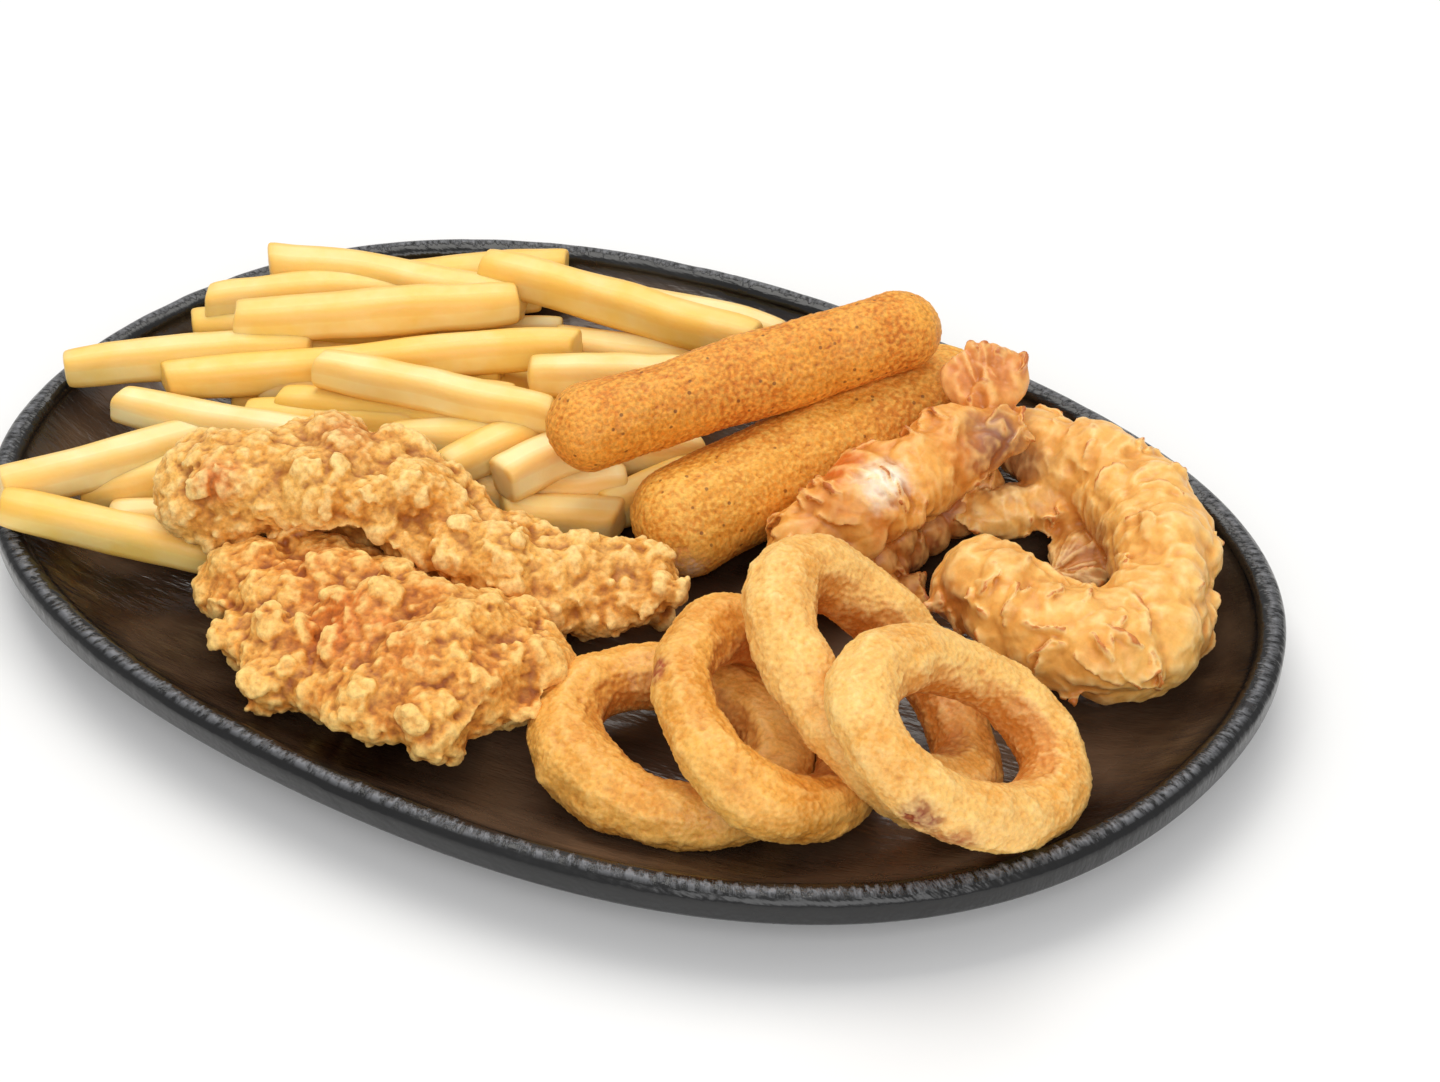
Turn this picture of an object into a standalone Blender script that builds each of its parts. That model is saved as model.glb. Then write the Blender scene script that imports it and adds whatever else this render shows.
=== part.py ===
"""A mixed fried platter on an oval stoneware plate.

Fries, two breaded sticks, two craggy chicken strips, four crumbed onion rings and two battered
prawns lie on the plate. Metres, +Z up. The origin is under the middle of the plate, on the surface
it stands on, and the plate's length runs along X.
"""
import math
import random
from collections import namedtuple

import bmesh
import bpy
from mathutils import Matrix, Vector, noise
from mathutils.bvhtree import BVHTree

MM = 0.001
GAP = 0.35 * MM  # kept between pieces that touch
WELD = 0.01 * MM

# The plate
PLATE_LENGTH = 305 * MM
PLATE_WIDTH = 208 * MM
PLATE_HEIGHT = 20.7 * MM
PLATE_FLOOR = 5.6 * MM  # height of the eating surface
RIM_WIDTH = 6.6 * MM
LIP_BOTTOM = 13.4 * MM  # lower edge of the lip's outer face
LIP_ROUND = 1.0 * MM
FOOT_INSET = 37 * MM  # from the rim's outer edge in to the flat foot
FLOOR_INSET = 40 * MM  # from the rim's outer edge in to the flat floor
PLATE_SIDES = 54
# The hand-shaped outline departs from an ellipse by these shares of its radius
SKEW = -0.007
SQUARENESS = -0.016
SWIRL = 0.019

# The fries
FRY_WIDTH = 10.2 * MM
FRY_TAPER = 0.84  # thickness of the ends as a share of the middle
FRY_SEGMENTS = 5
FRY_GAP = 1.4 * MM  # over the plate, because long flat faces come closer than their corners
HEAP_CENTRE = (-66, 30)
HEAP_HEADING = 26  # degrees, the way most fries point
CORE_SIZE = (88 * MM, 42 * MM, 34 * MM)
ROW_SPACING = 12.5

# The breaded sticks
STICK_LENGTH = 98 * MM

# The onion rings
RING_TUBE = 7.1 * MM
RING_SEGMENTS = 28
RING_SIDES = 9

# The tail fan
TAIL_SIZE = (12.0 * MM, 4.2 * MM, 11.5 * MM)  # half width, half thickness, half height
TAIL_FLUTES = 5

Fry = namedtuple("Fry", "x y z length heading tilt")
Stick = namedtuple("Stick", "name radius left_middle aim")
Ring = namedtuple("Ring", "name x y z lean_heading lean turn long_radius short_radius")
Station = namedtuple("Station", "x y z radius")
Flake = namedtuple("Flake", "x y z length width thickness heading tilt")

# One line for each fry that shows: its left end in millimetres, its length, and the way it points
# in degrees, from the back of the heap to the front.
SHOWN_FRIES = [
    Fry(-122, 50, 27, 66, 9, 0),
    Fry(-129, 31, 25, 62, 28, 0),
    Fry(-114, 20, 31, 70, 32, -1),
    Fry(-131, 27, 15, 60, 20, 0),
    Fry(-146, -7, 15, 60, 32, -1),
    Fry(-122, 0, 24, 101, 29, 2),
    Fry(-129, -10, 22, 62, 8, -1),
    Fry(-86, 12, 31, 60, 8, -2),
    Fry(-93, 7, 22, 60, 11, 0),
    Fry(-110, 11, 12, 40, 19, 0),
    Fry(-69, 65, 31, 75, 0, -1),
    Fry(-50, 77, 21, 56, 4, 0),
    Fry(-39, 32, 29, 42, 28, -3),
    Fry(-44, 57, 20, 40, 12, 0),
    Fry(-64, 5, 21, 48, 22, 0),
    Fry(-45, -2, 22, 46, 57, 0),
    Fry(-31, 0, 22, 32, 60, -1),
    Fry(-40, 5, 11, 36, 24, 0),
    Fry(-132, -54, 26, 66, 60, -10),
    Fry(-128, -58, 25, 60, 19, -13),
    Fry(-123, -37, 15, 58, 40, -1),
    Fry(-113, -40, 11, 54, 30, 0),
    Fry(-9, 11, 12, 33, 58, 0),
    Fry(-25, 20, 15, 34, 35, 0),
    Fry(-30, -1, 12, 28, 20, 0),
]

# Rows of fries below and behind those: across the heap in row spacings, height, and how far the
# right end stops short of the heap's far end.
UNDER_ROWS = [(row, 11, 0) for row in range(-2, 4)] + [(row, 20, 6) for row in range(-1, 4)]

# Each stick's radius, the middle of its left round end, and a point that it is aimed at
LOWER_STICK = Stick("breaded_stick_lower", 12.5, (12.4, 9.8, 18.3), (50.4, 70.8, 22.3))
UPPER_STICK = Stick("breaded_stick_upper", 10.2, (-11.4, 9.7, 37.2), (43, 65.3, 43.2))

RINGS = [
    Ring("onion_ring_a", 39.7, -58.2, 15.4, -2, 5.9, 1, 23.7, 19.2),
    Ring("onion_ring_b", 58.6, -51.3, 24.1, 23, 31.4, -88, 25.0, 20.7),
    Ring("onion_ring_c", 77.1, -38.3, 31.2, 13, 38.8, 157, 28.2, 19.5),
    Ring("onion_ring_d", 100.9, -50.3, 34.2, 10, 38, 30, 26.2, 17.9),
]

# The centre lines of the long pieces, end to end, with half the piece's width
REAR_STRIP = [
    Station(-96, -40, 27, 6),
    Station(-90, -39, 27, 12),
    Station(-78, -35, 28, 14),
    Station(-66, -29, 28, 15),
    Station(-54, -27, 27, 17),
    Station(-42, -26, 24, 16.5),
    Station(-28, -25, 20, 15.5),
    Station(-12, -24, 17, 14.5),
    Station(3, -21, 15, 13.5),
    Station(15, -17, 13, 11),
    Station(23, -13, 12, 5),
]
FRONT_STRIP = [
    Station(-77, -56, 13, 5),
    Station(-72, -55, 14, 11),
    Station(-62, -53.5, 16, 17.5),
    Station(-49, -56, 16, 22),
    Station(-35, -61, 16, 23.5),
    Station(-20, -63, 17, 24.5),
    Station(-6, -62, 17, 24.5),
    Station(3, -61, 16, 20),
    Station(8, -63, 15, 13),
    Station(10, -64, 14, 5),
]
RIGHT_PRAWN = [
    Station(64, 66, 17, 4.5),
    Station(71, 66, 18, 7),
    Station(82, 63, 19, 9.5),
    Station(98, 57, 21, 12),
    Station(113, 46, 21, 13),
    Station(122, 28, 20, 13),
    Station(123, 11, 19, 13),
    Station(115, 1, 19, 13),
    Station(101, 3, 20, 14),
    Station(88, 8, 20, 14),
    Station(79, 9, 18, 10),
    Station(74, 8, 17, 4.5),
]
LEFT_PRAWN = [
    Station(77, 57, 32, 4.5),
    Station(73, 52, 32, 7.5),
    Station(66, 45, 31, 9.5),
    Station(59, 32.6, 29, 11.7),
    Station(51.5, 22, 25.5, 12.5),
    Station(45.2, 11.5, 21, 12.5),
    Station(42.5, 1.2, 17, 10.8),
    Station(39, -5, 14, 7.5),
    Station(38, -9, 13, 4),
]
TAIL_FOOT = (72, 54, 30)
TAIL_TIP = (60, 70, 43)
TAIL_HEADING = 24  # the fan spreads this way, in degrees

# Stiff tongues of batter that stand off the prawns
RIGHT_FLAKES = [
    Flake(90, 23, 31, 12, 6, 5, -9, 10),
    Flake(129, 41, 22, 9, 6, 3, 60, -10),
    Flake(130, 22, 20, 9, 6, 3, 95, 5),
    Flake(127, 3, 13, 9, 6, 3, 130, 0),
    Flake(113, -11, 13, 8, 6, 3, 170, 0),
    Flake(76, 2, 18, 8, 6, 4, 60, 10),
]
# The batter that bridges the curl's hollow: a limb under the left prawn, and a low web
RIGHT_BRIDGES = [
    Flake(82, 45, 14, 46, 17, 13.5, 30, 3),
    Flake(99, 42, 10, 36, 24, 8, 98, 0),
]
LEFT_FLAKES = [
    Flake(40, 31, 32, 7, 4, 3, 110, 50),
    Flake(48, 33, 33, 8, 5, 3, 40, 10),
    Flake(54, 17, 18, 7, 5, 4, 60, 0),
    Flake(60, 22, 17, 6, 5, 4, 20, 0),
]


def clear_scene():
    """Remove whatever the file holds, so that the script can be run again."""
    for old in list(bpy.data.objects):
        bpy.data.objects.remove(old, do_unlink=True)


def make_collection(name):
    """A new collection in the scene."""
    collection = bpy.data.collections.new(name)
    bpy.context.scene.collection.children.link(collection)
    return collection


def make_material(name, colour, roughness):
    """A Principled material; no piece here is metal."""
    material = bpy.data.materials.new(name)
    material.use_nodes = True
    shader = material.node_tree.nodes["Principled BSDF"]
    shader.inputs["Base Color"].default_value = (*colour, 1.0)
    shader.inputs["Roughness"].default_value = roughness
    shader.inputs["Metallic"].default_value = 0.0
    return material


def add_object(name, mesh, collection, material):
    """Link a mesh as a named, smooth object with its material."""
    piece = bpy.data.objects.new(name, mesh)
    collection.objects.link(piece)
    mesh.materials.clear()
    mesh.materials.append(material)
    mesh.shade_smooth()
    return piece


def evaluated_mesh(piece):
    """The mesh that a piece's curve or modifiers make."""
    depsgraph = bpy.context.evaluated_depsgraph_get()
    return bpy.data.meshes.new_from_object(piece.evaluated_get(depsgraph), depsgraph=depsgraph)


def mesh_from(shape, name):
    """Write a bmesh out as a mesh and free it."""
    mesh = bpy.data.meshes.new(name)
    shape.to_mesh(mesh)
    shape.free()
    return mesh


def turned(heading, tilt=0.0):
    """A turn that points +X along a heading, and then up by a tilt, both in degrees."""
    return Matrix.Rotation(math.radians(heading), 4, "Z") @ Matrix.Rotation(math.radians(-tilt), 4, "Y")


# Relief


def rumple(mesh, lump, depth, seed):
    """Push the points in and out along their normals, in soft lumps of one size."""
    shift = Vector((3.1, 1.7, 2.3)) * seed
    normals = [vertex.normal.copy() for vertex in mesh.vertices]
    for vertex, normal in zip(mesh.vertices, normals):
        vertex.co += normal * depth * noise.noise(vertex.co / lump + shift)
    mesh.update()


def add_crags(mesh, crag, depth, seed):
    """Raise rounded crags with sharp creases between them."""
    shift = Vector((1.9, 4.3, 0.7)) * seed
    normals = [vertex.normal.copy() for vertex in mesh.vertices]
    for vertex, normal in zip(mesh.vertices, normals):
        nearest = noise.voronoi(vertex.co / crag + shift)[0][0]
        vertex.co += normal * depth * (0.5 - nearest)
    mesh.update()


# Joining, cutting and resting


def boolean(piece, tools, operation, solver="EXACT"):
    """Join or cut a piece with a list of objects, which are used up."""
    cutters = make_collection("cutters")
    for tool in tools:
        for owner in list(tool.users_collection):
            owner.objects.unlink(tool)
        cutters.objects.link(tool)
    step = piece.modifiers.new("boolean", "BOOLEAN")
    step.operation = operation
    step.operand_type = "COLLECTION"
    step.collection = cutters
    step.solver = solver
    mesh = evaluated_mesh(piece)
    piece.modifiers.remove(step)
    keep_outer_shell(mesh)
    mesh.materials.clear()
    for slot in piece.data.materials:
        mesh.materials.append(slot)
    mesh.shade_smooth()
    piece.data = mesh
    for tool in list(cutters.objects):
        bpy.data.objects.remove(tool, do_unlink=True)
    bpy.data.collections.remove(cutters)


def keep_outer_shell(mesh):
    """Keep the largest closed shell, so that sealed hollows are filled and scraps dropped."""
    shape = bmesh.new()
    shape.from_mesh(mesh)
    bmesh.ops.remove_doubles(shape, verts=shape.verts, dist=WELD)
    shells = []
    left = set(shape.faces)
    while left:
        shell = []
        to_visit = [left.pop()]
        while to_visit:
            face = to_visit.pop()
            shell.append(face)
            for edge in face.edges:
                for near in edge.link_faces:
                    if near in left:
                        left.remove(near)
                        to_visit.append(near)
        shells.append(shell)
    largest = max(shells, key=len)
    scraps = [face for shell in shells if shell is not largest for face in shell]
    bmesh.ops.delete(shape, geom=scraps, context="FACES")
    bmesh.ops.triangulate(shape, faces=shape.faces)
    shape.to_mesh(mesh)
    shape.free()


def carve(piece, neighbour):
    """Cut a neighbour's form, a gap larger all round, out of a piece."""
    mesh = neighbour.data.copy()
    mesh.transform(neighbour.matrix_world)
    mesh.update()
    normals = [vertex.normal.copy() for vertex in mesh.vertices]
    for vertex, normal in zip(mesh.vertices, normals):
        vertex.co += normal * GAP
    boolean(piece, [bpy.data.objects.new("cutter", mesh)], "DIFFERENCE")


def surface(piece):
    """A piece's points in the world, and a tree of its faces to cast rays at."""
    points = [piece.matrix_world @ vertex.co for vertex in piece.data.vertices]
    return points, BVHTree.FromPolygons(points, [face.vertices[:] for face in piece.data.polygons])


def clearance(piece, supports):
    """The height by which a piece can drop before it meets what is below it."""
    far = Vector((0, 0, 1))
    points, tree = surface(piece)
    room = math.inf
    for support in supports:
        support_points, support_tree = surface(support)
        for point in points:
            hit = support_tree.ray_cast(point + far, -far)[0]
            if hit:
                room = min(room, point.z - hit.z)
        for point in support_points:
            hit = tree.ray_cast(point - far, far)[0]
            if hit:
                room = min(room, hit.z - point.z)
    return room


def rest_on(piece, supports):
    """Lower or raise a piece until it rests on its supports."""
    drop = clearance(piece, supports) - GAP
    piece.matrix_world = Matrix.Translation((0, 0, -drop)) @ piece.matrix_world


# The plate


def outline_factor(angle):
    """How far the hand-shaped outline stands off an ellipse at an angle."""
    return 1 + SKEW * math.sin(2 * angle) + SQUARENESS * math.cos(4 * angle) + SWIRL * math.sin(4 * angle)


def outline_reach():
    """Half length and half width of the outline of unit size."""
    angles = [2 * math.pi * step / 720 for step in range(720)]
    half_length = max(outline_factor(angle) * math.cos(angle) for angle in angles)
    half_width = max(outline_factor(angle) * math.sin(angle) for angle in angles)
    return half_length, half_width


def plate_profile():
    """The plate's section, from the foot out, over the rim and in to the floor.

    Each point is its inset from the rim's outer edge, and its height.
    """
    outer_wall = []
    for step in range(4):
        share = step / 4
        outer_wall.append((LIP_ROUND + (FOOT_INSET - LIP_ROUND) * (1 - share) ** 1.1,
                           LIP_BOTTOM * 0.95 * share ** 1.35))
    lip = [(LIP_ROUND, LIP_BOTTOM), (0.0, LIP_BOTTOM + LIP_ROUND)]
    half_rim = RIM_WIDTH / 2
    arch = half_rim * 0.8
    crown = PLATE_HEIGHT - arch
    rim = []
    for step in range(6):
        angle = math.pi * step / 5
        rim.append((half_rim - half_rim * math.cos(angle), crown + arch * math.sin(angle)))
    inner_wall = []
    for step in range(1, 6):
        share = step / 5
        inner_wall.append((RIM_WIDTH + (FLOOR_INSET - RIM_WIDTH) * share,
                           PLATE_FLOOR + (crown - PLATE_FLOOR) * (1 - share) ** 2.2))
    return outer_wall + lip + rim + inner_wall


def make_plate(collection, material):
    """Turn the profile by a Screw modifier, then shape the round into the plate's outline."""
    reach_x, reach_y = outline_reach()
    half_x = PLATE_LENGTH / 2 / reach_x
    half_y = PLATE_WIDTH / 2 / reach_y
    profile = bpy.data.meshes.new("plate_profile")
    points = [(PLATE_LENGTH - inset, 0.0, height) for inset, height in plate_profile()]
    profile.from_pydata(points, [(index, index + 1) for index in range(len(points) - 1)], [])
    round_plate = bpy.data.objects.new("plate_profile", profile)
    collection.objects.link(round_plate)
    screw = round_plate.modifiers.new("turn", "SCREW")
    screw.steps = PLATE_SIDES
    screw.render_steps = PLATE_SIDES
    screw.use_merge_vertices = True
    screw.merge_threshold = WELD
    shape = bmesh.new()
    shape.from_mesh(evaluated_mesh(round_plate))
    bpy.data.objects.remove(round_plate, do_unlink=True)

    bmesh.ops.holes_fill(shape, edges=[edge for edge in shape.edges if edge.is_boundary])
    for vertex in shape.verts:
        angle = math.atan2(vertex.co.y, vertex.co.x)
        inset = PLATE_LENGTH - math.hypot(vertex.co.x, vertex.co.y)
        factor = outline_factor(angle)
        vertex.co.x = (half_x - inset) * math.cos(angle) * factor
        vertex.co.y = (half_y - inset) * math.sin(angle) * factor
    bmesh.ops.recalc_face_normals(shape, faces=shape.faces)
    return add_object("plate", mesh_from(shape, "plate"), collection, material)


# The fries


def fry_mesh(name, length, draw):
    """One fry along +X from its left end: a square stick, a little bowed and tapered."""
    shape = bmesh.new()
    bmesh.ops.create_cube(shape, size=1.0)
    along = [edge for edge in shape.edges if abs(edge.verts[0].co.x - edge.verts[1].co.x) > 0.5]
    bmesh.ops.subdivide_edges(shape, edges=along, cuts=FRY_SEGMENTS - 1, use_grid_fill=True)
    bow_side = draw.uniform(-0.025, 0.025) * length
    bow_up = draw.uniform(-0.015, 0.02) * length
    twist = draw.uniform(-0.2, 0.2)
    width = FRY_WIDTH * draw.uniform(0.9, 1.08)
    slant = draw.uniform(-0.4, 0.4)
    for vertex in shape.verts:
        share = vertex.co.x + 0.5
        belly = 1 - (2 * share - 1) ** 2
        thickness = width * (FRY_TAPER + (1 - FRY_TAPER) * math.sqrt(max(belly, 0.0)))
        side = vertex.co.y * thickness
        up = vertex.co.z * thickness
        turn = twist * (share - 0.5)
        vertex.co.x = share * length + slant * side * (2 * share - 1)
        vertex.co.y = side * math.cos(turn) - up * math.sin(turn) + bow_side * belly
        vertex.co.z = side * math.sin(turn) + up * math.cos(turn) + bow_up * belly
    return mesh_from(shape, name)


def under_fries(draw):
    """The fries below and behind those that show, laid in rows along the heap."""
    along = Vector((math.cos(math.radians(HEAP_HEADING)), math.sin(math.radians(HEAP_HEADING))))
    across = Vector((-along.y, along.x))
    fries = []
    for row, height, short in UNDER_ROWS:
        length = draw.uniform(62, 78)
        middle = Vector(HEAP_CENTRE) + across * row * ROW_SPACING + along * (draw.uniform(-12, 4) - short)
        start = middle - along * length / 2
        fries.append(Fry(start.x, start.y, height, length, HEAP_HEADING + draw.uniform(-9, 9), 0))
    return fries


def core_mesh():
    """A low mound with a flat underside."""
    shape = bmesh.new()
    bmesh.ops.create_uvsphere(shape, u_segments=20, v_segments=10, radius=0.5)
    for vertex in shape.verts:
        vertex.co.z = max(vertex.co.z, 0.0)
    bmesh.ops.remove_doubles(shape, verts=shape.verts, dist=WELD)
    bmesh.ops.dissolve_limit(shape, angle_limit=0.001, verts=shape.verts, edges=shape.edges)
    return mesh_from(shape, "fries")


def make_fries(plate, collection, material):
    """A low core with every fry, lifted clear of the plate, joined on by one Boolean union."""
    draw = random.Random(11)
    pieces = []
    for index, fry in enumerate(SHOWN_FRIES + under_fries(draw)):
        piece = bpy.data.objects.new(f"fry_{index}", fry_mesh(f"fry_{index}", fry.length * MM, draw))
        piece.matrix_world = Matrix.Translation(Vector((fry.x, fry.y, fry.z)) * MM) @ turned(fry.heading, fry.tilt)
        sunk = FRY_GAP - clearance(piece, [plate])
        if sunk > 0:
            piece.matrix_world = Matrix.Translation((0, 0, sunk)) @ piece.matrix_world
        pieces.append(piece)
    heap = add_object("fries", core_mesh(), collection, material)
    heap.matrix_world = (Matrix.Translation((HEAP_CENTRE[0] * MM, HEAP_CENTRE[1] * MM, PLATE_FLOOR))
                         @ turned(HEAP_HEADING) @ Matrix.Diagonal((*CORE_SIZE, 1.0)))
    rest_on(heap, [plate])
    heap.data.transform(heap.matrix_world)
    heap.matrix_world = Matrix.Identity(4)
    boolean(heap, pieces, "UNION")
    return heap


# The sticks


def make_stick(stick, seed, collection, material):
    """A capsule: a ball pulled out along its axis, with a shallow crumb."""
    radius = stick.radius * MM
    shape = bmesh.new()
    bmesh.ops.create_uvsphere(shape, u_segments=16, v_segments=13, radius=radius)
    half_run = STICK_LENGTH / 2 - radius
    for vertex in shape.verts:
        vertex.co.z += math.copysign(half_run, vertex.co.z)
    sides = [edge for edge in shape.edges if edge.calc_length() > half_run]
    bmesh.ops.subdivide_edges(shape, edges=sides, cuts=7, use_grid_fill=True)
    mesh = mesh_from(shape, stick.name)
    rumple(mesh, 14 * MM, 1.2 * MM, seed)
    piece = add_object(stick.name, mesh, collection, material)
    left = Vector(stick.left_middle) * MM
    along = (Vector(stick.aim) * MM - left).normalized()
    turn = along.to_track_quat("Z", "Y").to_matrix().to_4x4()
    piece.matrix_world = Matrix.Translation(left + along * half_run) @ turn
    return piece


# The rings


def make_ring(ring, seed, collection, material):
    """An oval torus of uneven thickness, leaned over to rest on the ring before it."""
    mean = (ring.long_radius + ring.short_radius) / 2 * MM
    bpy.ops.mesh.primitive_torus_add(
        major_radius=mean, minor_radius=RING_TUBE, major_segments=RING_SEGMENTS, minor_segments=RING_SIDES)
    torus = bpy.context.active_object
    mesh = torus.data
    bpy.data.objects.remove(torus, do_unlink=True)
    mesh.name = ring.name
    for vertex in mesh.vertices:
        angle = math.atan2(vertex.co.y, vertex.co.x)
        round_line = Vector((math.cos(angle), math.sin(angle), 0.0)) * mean
        oval_line = Vector((ring.long_radius * math.cos(angle), ring.short_radius * math.sin(angle), 0.0)) * MM
        swell = 1 + 0.07 * math.sin(2 * angle + seed) + 0.04 * math.cos(3 * angle + 2 * seed)
        vertex.co = oval_line + (vertex.co - round_line) * swell
    mesh.update()
    rumple(mesh, 9 * MM, 1.1 * MM, seed)
    piece = add_object(ring.name, mesh, collection, material)
    lean = Matrix.Rotation(math.radians(ring.lean), 4, "Y")
    piece.matrix_world = (Matrix.Translation(Vector((ring.x, ring.y, ring.z)) * MM)
                          @ turned(ring.lean_heading) @ lean @ turned(ring.turn))
    return piece


# The strips and prawns


def smooth_path(stations, count):
    """Evenly stepped points on a smooth curve through the stations."""
    points = []
    last = len(stations) - 1
    for step in range(count):
        along = last * step / (count - 1)
        index = min(int(along), last - 1)
        share = along - index
        near = [stations[min(max(index + offset, 0), last)] for offset in (-1, 0, 1, 2)]
        values = []
        for before, start, end, after in zip(*near):
            leave = (end - before) / 2
            arrive = (after - start) / 2
            cube = 2 * start - 2 * end + leave + arrive
            square = 3 * end - 3 * start - 2 * leave - arrive
            values.append(((cube * share + square) * share + leave) * share + start)
        points.append(Station(*values))
    return points


def swept_mesh(name, stations, count, sides, flatten, collection):
    """A curve with a bevel, swelling and shrinking along its path, made a closed mesh.

    Its width is as the stations say, and its height is that times flatten.
    """
    curve = bpy.data.curves.new(name, "CURVE")
    curve.dimensions = "3D"
    curve.bevel_depth = 1.0 * MM
    curve.bevel_resolution = sides // 2 - 2
    curve.use_fill_caps = True
    spline = curve.splines.new("POLY")
    points = smooth_path(stations, count)
    spline.points.add(len(points) - 1)
    for knot, station in zip(spline.points, points):
        knot.co = (station.x * MM, station.y * MM, station.z * MM / flatten, 1.0)
        knot.radius = station.radius
    drawn = bpy.data.objects.new(name + "_path", curve)
    collection.objects.link(drawn)
    shape = bmesh.new()
    shape.from_mesh(evaluated_mesh(drawn))
    bpy.data.objects.remove(drawn, do_unlink=True)
    bmesh.ops.remove_doubles(shape, verts=shape.verts, dist=WELD)
    bmesh.ops.poke(shape, faces=[face for face in shape.faces if len(face.verts) > 4])
    for vertex in shape.verts:
        vertex.co.z *= flatten
    bmesh.ops.recalc_face_normals(shape, faces=shape.faces)
    return mesh_from(shape, name)


def make_strip(name, stations, flatten, seed, collection, material):
    """A broad craggy strip of battered chicken."""
    mesh = swept_mesh(name, stations, 32, 22, flatten, collection)
    rumple(mesh, 22 * MM, 4.0 * MM, seed)
    add_crags(mesh, 11 * MM, 4.5 * MM, seed)
    return add_object(name, mesh, collection, material)


def flake_object(flake):
    """A flattened ball of batter."""
    shape = bmesh.new()
    bmesh.ops.create_icosphere(shape, subdivisions=1, radius=0.5)
    mesh = mesh_from(shape, "flake")
    piece = bpy.data.objects.new("flake", mesh)
    size = Matrix.Diagonal((flake.length * MM, flake.width * MM, flake.thickness * MM, 1.0))
    mesh.transform(Matrix.Translation(Vector((flake.x, flake.y, flake.z)) * MM)
                   @ turned(flake.heading, flake.tilt) @ size)
    return piece


def tail_object():
    """The prawn's tail: a fan that widens upwards, fluted down its faces."""
    shape = bmesh.new()
    bmesh.ops.create_uvsphere(shape, u_segments=22, v_segments=8, radius=1.0)
    half_width, half_thick, half_height = TAIL_SIZE
    for vertex in shape.verts:
        spread = 0.85 + 0.3 * vertex.co.z
        flute = 1 + 0.35 * math.cos(math.pi * TAIL_FLUTES * vertex.co.x)
        vertex.co.x *= half_width * spread
        vertex.co.y *= half_thick * flute
        vertex.co.z *= half_height
    mesh = mesh_from(shape, "tail")
    foot = Vector(TAIL_FOOT) * MM
    tip = Vector(TAIL_TIP) * MM
    up = (tip - foot).normalized()
    wide = Vector((math.cos(math.radians(TAIL_HEADING)), math.sin(math.radians(TAIL_HEADING)), 0.0))
    thick = up.cross(wide).normalized()
    wide = thick.cross(up)
    axes = Matrix((wide, thick, up)).transposed().to_4x4()
    mesh.transform(Matrix.Translation((foot + tip) / 2) @ axes)
    return bpy.data.objects.new("tail", mesh)


def make_prawn(name, stations, extras, seed, collection, material):
    """A battered prawn's curl, ridged, with its flakes and tail joined on."""
    mesh = swept_mesh(name, stations, 36, 16, 0.95, collection)
    rumple(mesh, 15 * MM, 2.5 * MM, seed)
    add_crags(mesh, 9 * MM, 2.6 * MM, seed)
    piece = add_object(name, mesh, collection, material)
    boolean(piece, extras, "UNION")
    return piece


def build():
    """Make every piece of the platter."""
    clear_scene()
    platter = make_collection("fried_platter")
    glaze = make_material("stoneware_glaze", (0.035, 0.024, 0.018), 0.25)
    potato = make_material("fried_potato", (0.88, 0.60, 0.18), 0.5)
    fine_crumb = make_material("fine_crumb", (0.66, 0.27, 0.05), 0.7)
    pale_crumb = make_material("pale_crumb", (0.76, 0.39, 0.09), 0.7)
    rough_batter = make_material("rough_batter", (0.72, 0.36, 0.12), 0.75)
    ring_crumb = make_material("ring_crumb", (0.83, 0.48, 0.14), 0.65)
    flaky_batter = make_material("flaky_batter", (0.83, 0.49, 0.17), 0.6)

    plate = make_plate(platter, glaze)
    fries = make_fries(plate, platter, potato)
    lower = make_stick(LOWER_STICK, 3, platter, pale_crumb)
    rest_on(lower, [plate, fries])
    upper = make_stick(UPPER_STICK, 7, platter, fine_crumb)
    rest_on(upper, [plate, fries, lower])

    rings = []
    for seed, ring in enumerate(RINGS):
        piece = make_ring(ring, seed, platter, ring_crumb)
        rest_on(piece, [plate] + rings)
        rings.append(piece)
    front = make_strip("chicken_strip_front", FRONT_STRIP, 0.55, 3, platter, rough_batter)
    rest_on(front, [plate])
    carve(front, rings[0])
    rear = make_strip("chicken_strip_rear", REAR_STRIP, 0.8, 9, platter, rough_batter)
    rest_on(rear, [plate, fries])
    carve(rear, front)

    right_extras = [flake_object(flake) for flake in RIGHT_FLAKES + RIGHT_BRIDGES]
    right = make_prawn("prawn_right", RIGHT_PRAWN, right_extras, 4, platter, flaky_batter)
    rest_on(right, [plate] + rings)
    left_extras = [flake_object(flake) for flake in LEFT_FLAKES] + [tail_object()]
    left = make_prawn("prawn_left", LEFT_PRAWN, left_extras, 8, platter, flaky_batter)
    rest_on(left, [plate, lower, right] + rings)


build()
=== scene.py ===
"""Looks of a mixed fried platter on its oval stoneware plate.

Fries, two breaded sticks, two craggy chicken strips, four crumbed onion rings and two battered
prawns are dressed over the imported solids. Lengths named here are in millimetres unless they say
otherwise, and the scene itself is in metres.
"""

import logging
import math
import random
from dataclasses import dataclass, field, replace
from enum import Enum

import bmesh
import bpy
from bmesh.types import BMesh, BMLayerItem, BMVert
from bpy.types import ID, Material, Mesh, Node, NodeSocket, NodeTree, Object
from mathutils import Matrix, Vector, noise
from mathutils.bvhtree import BVHTree


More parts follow.
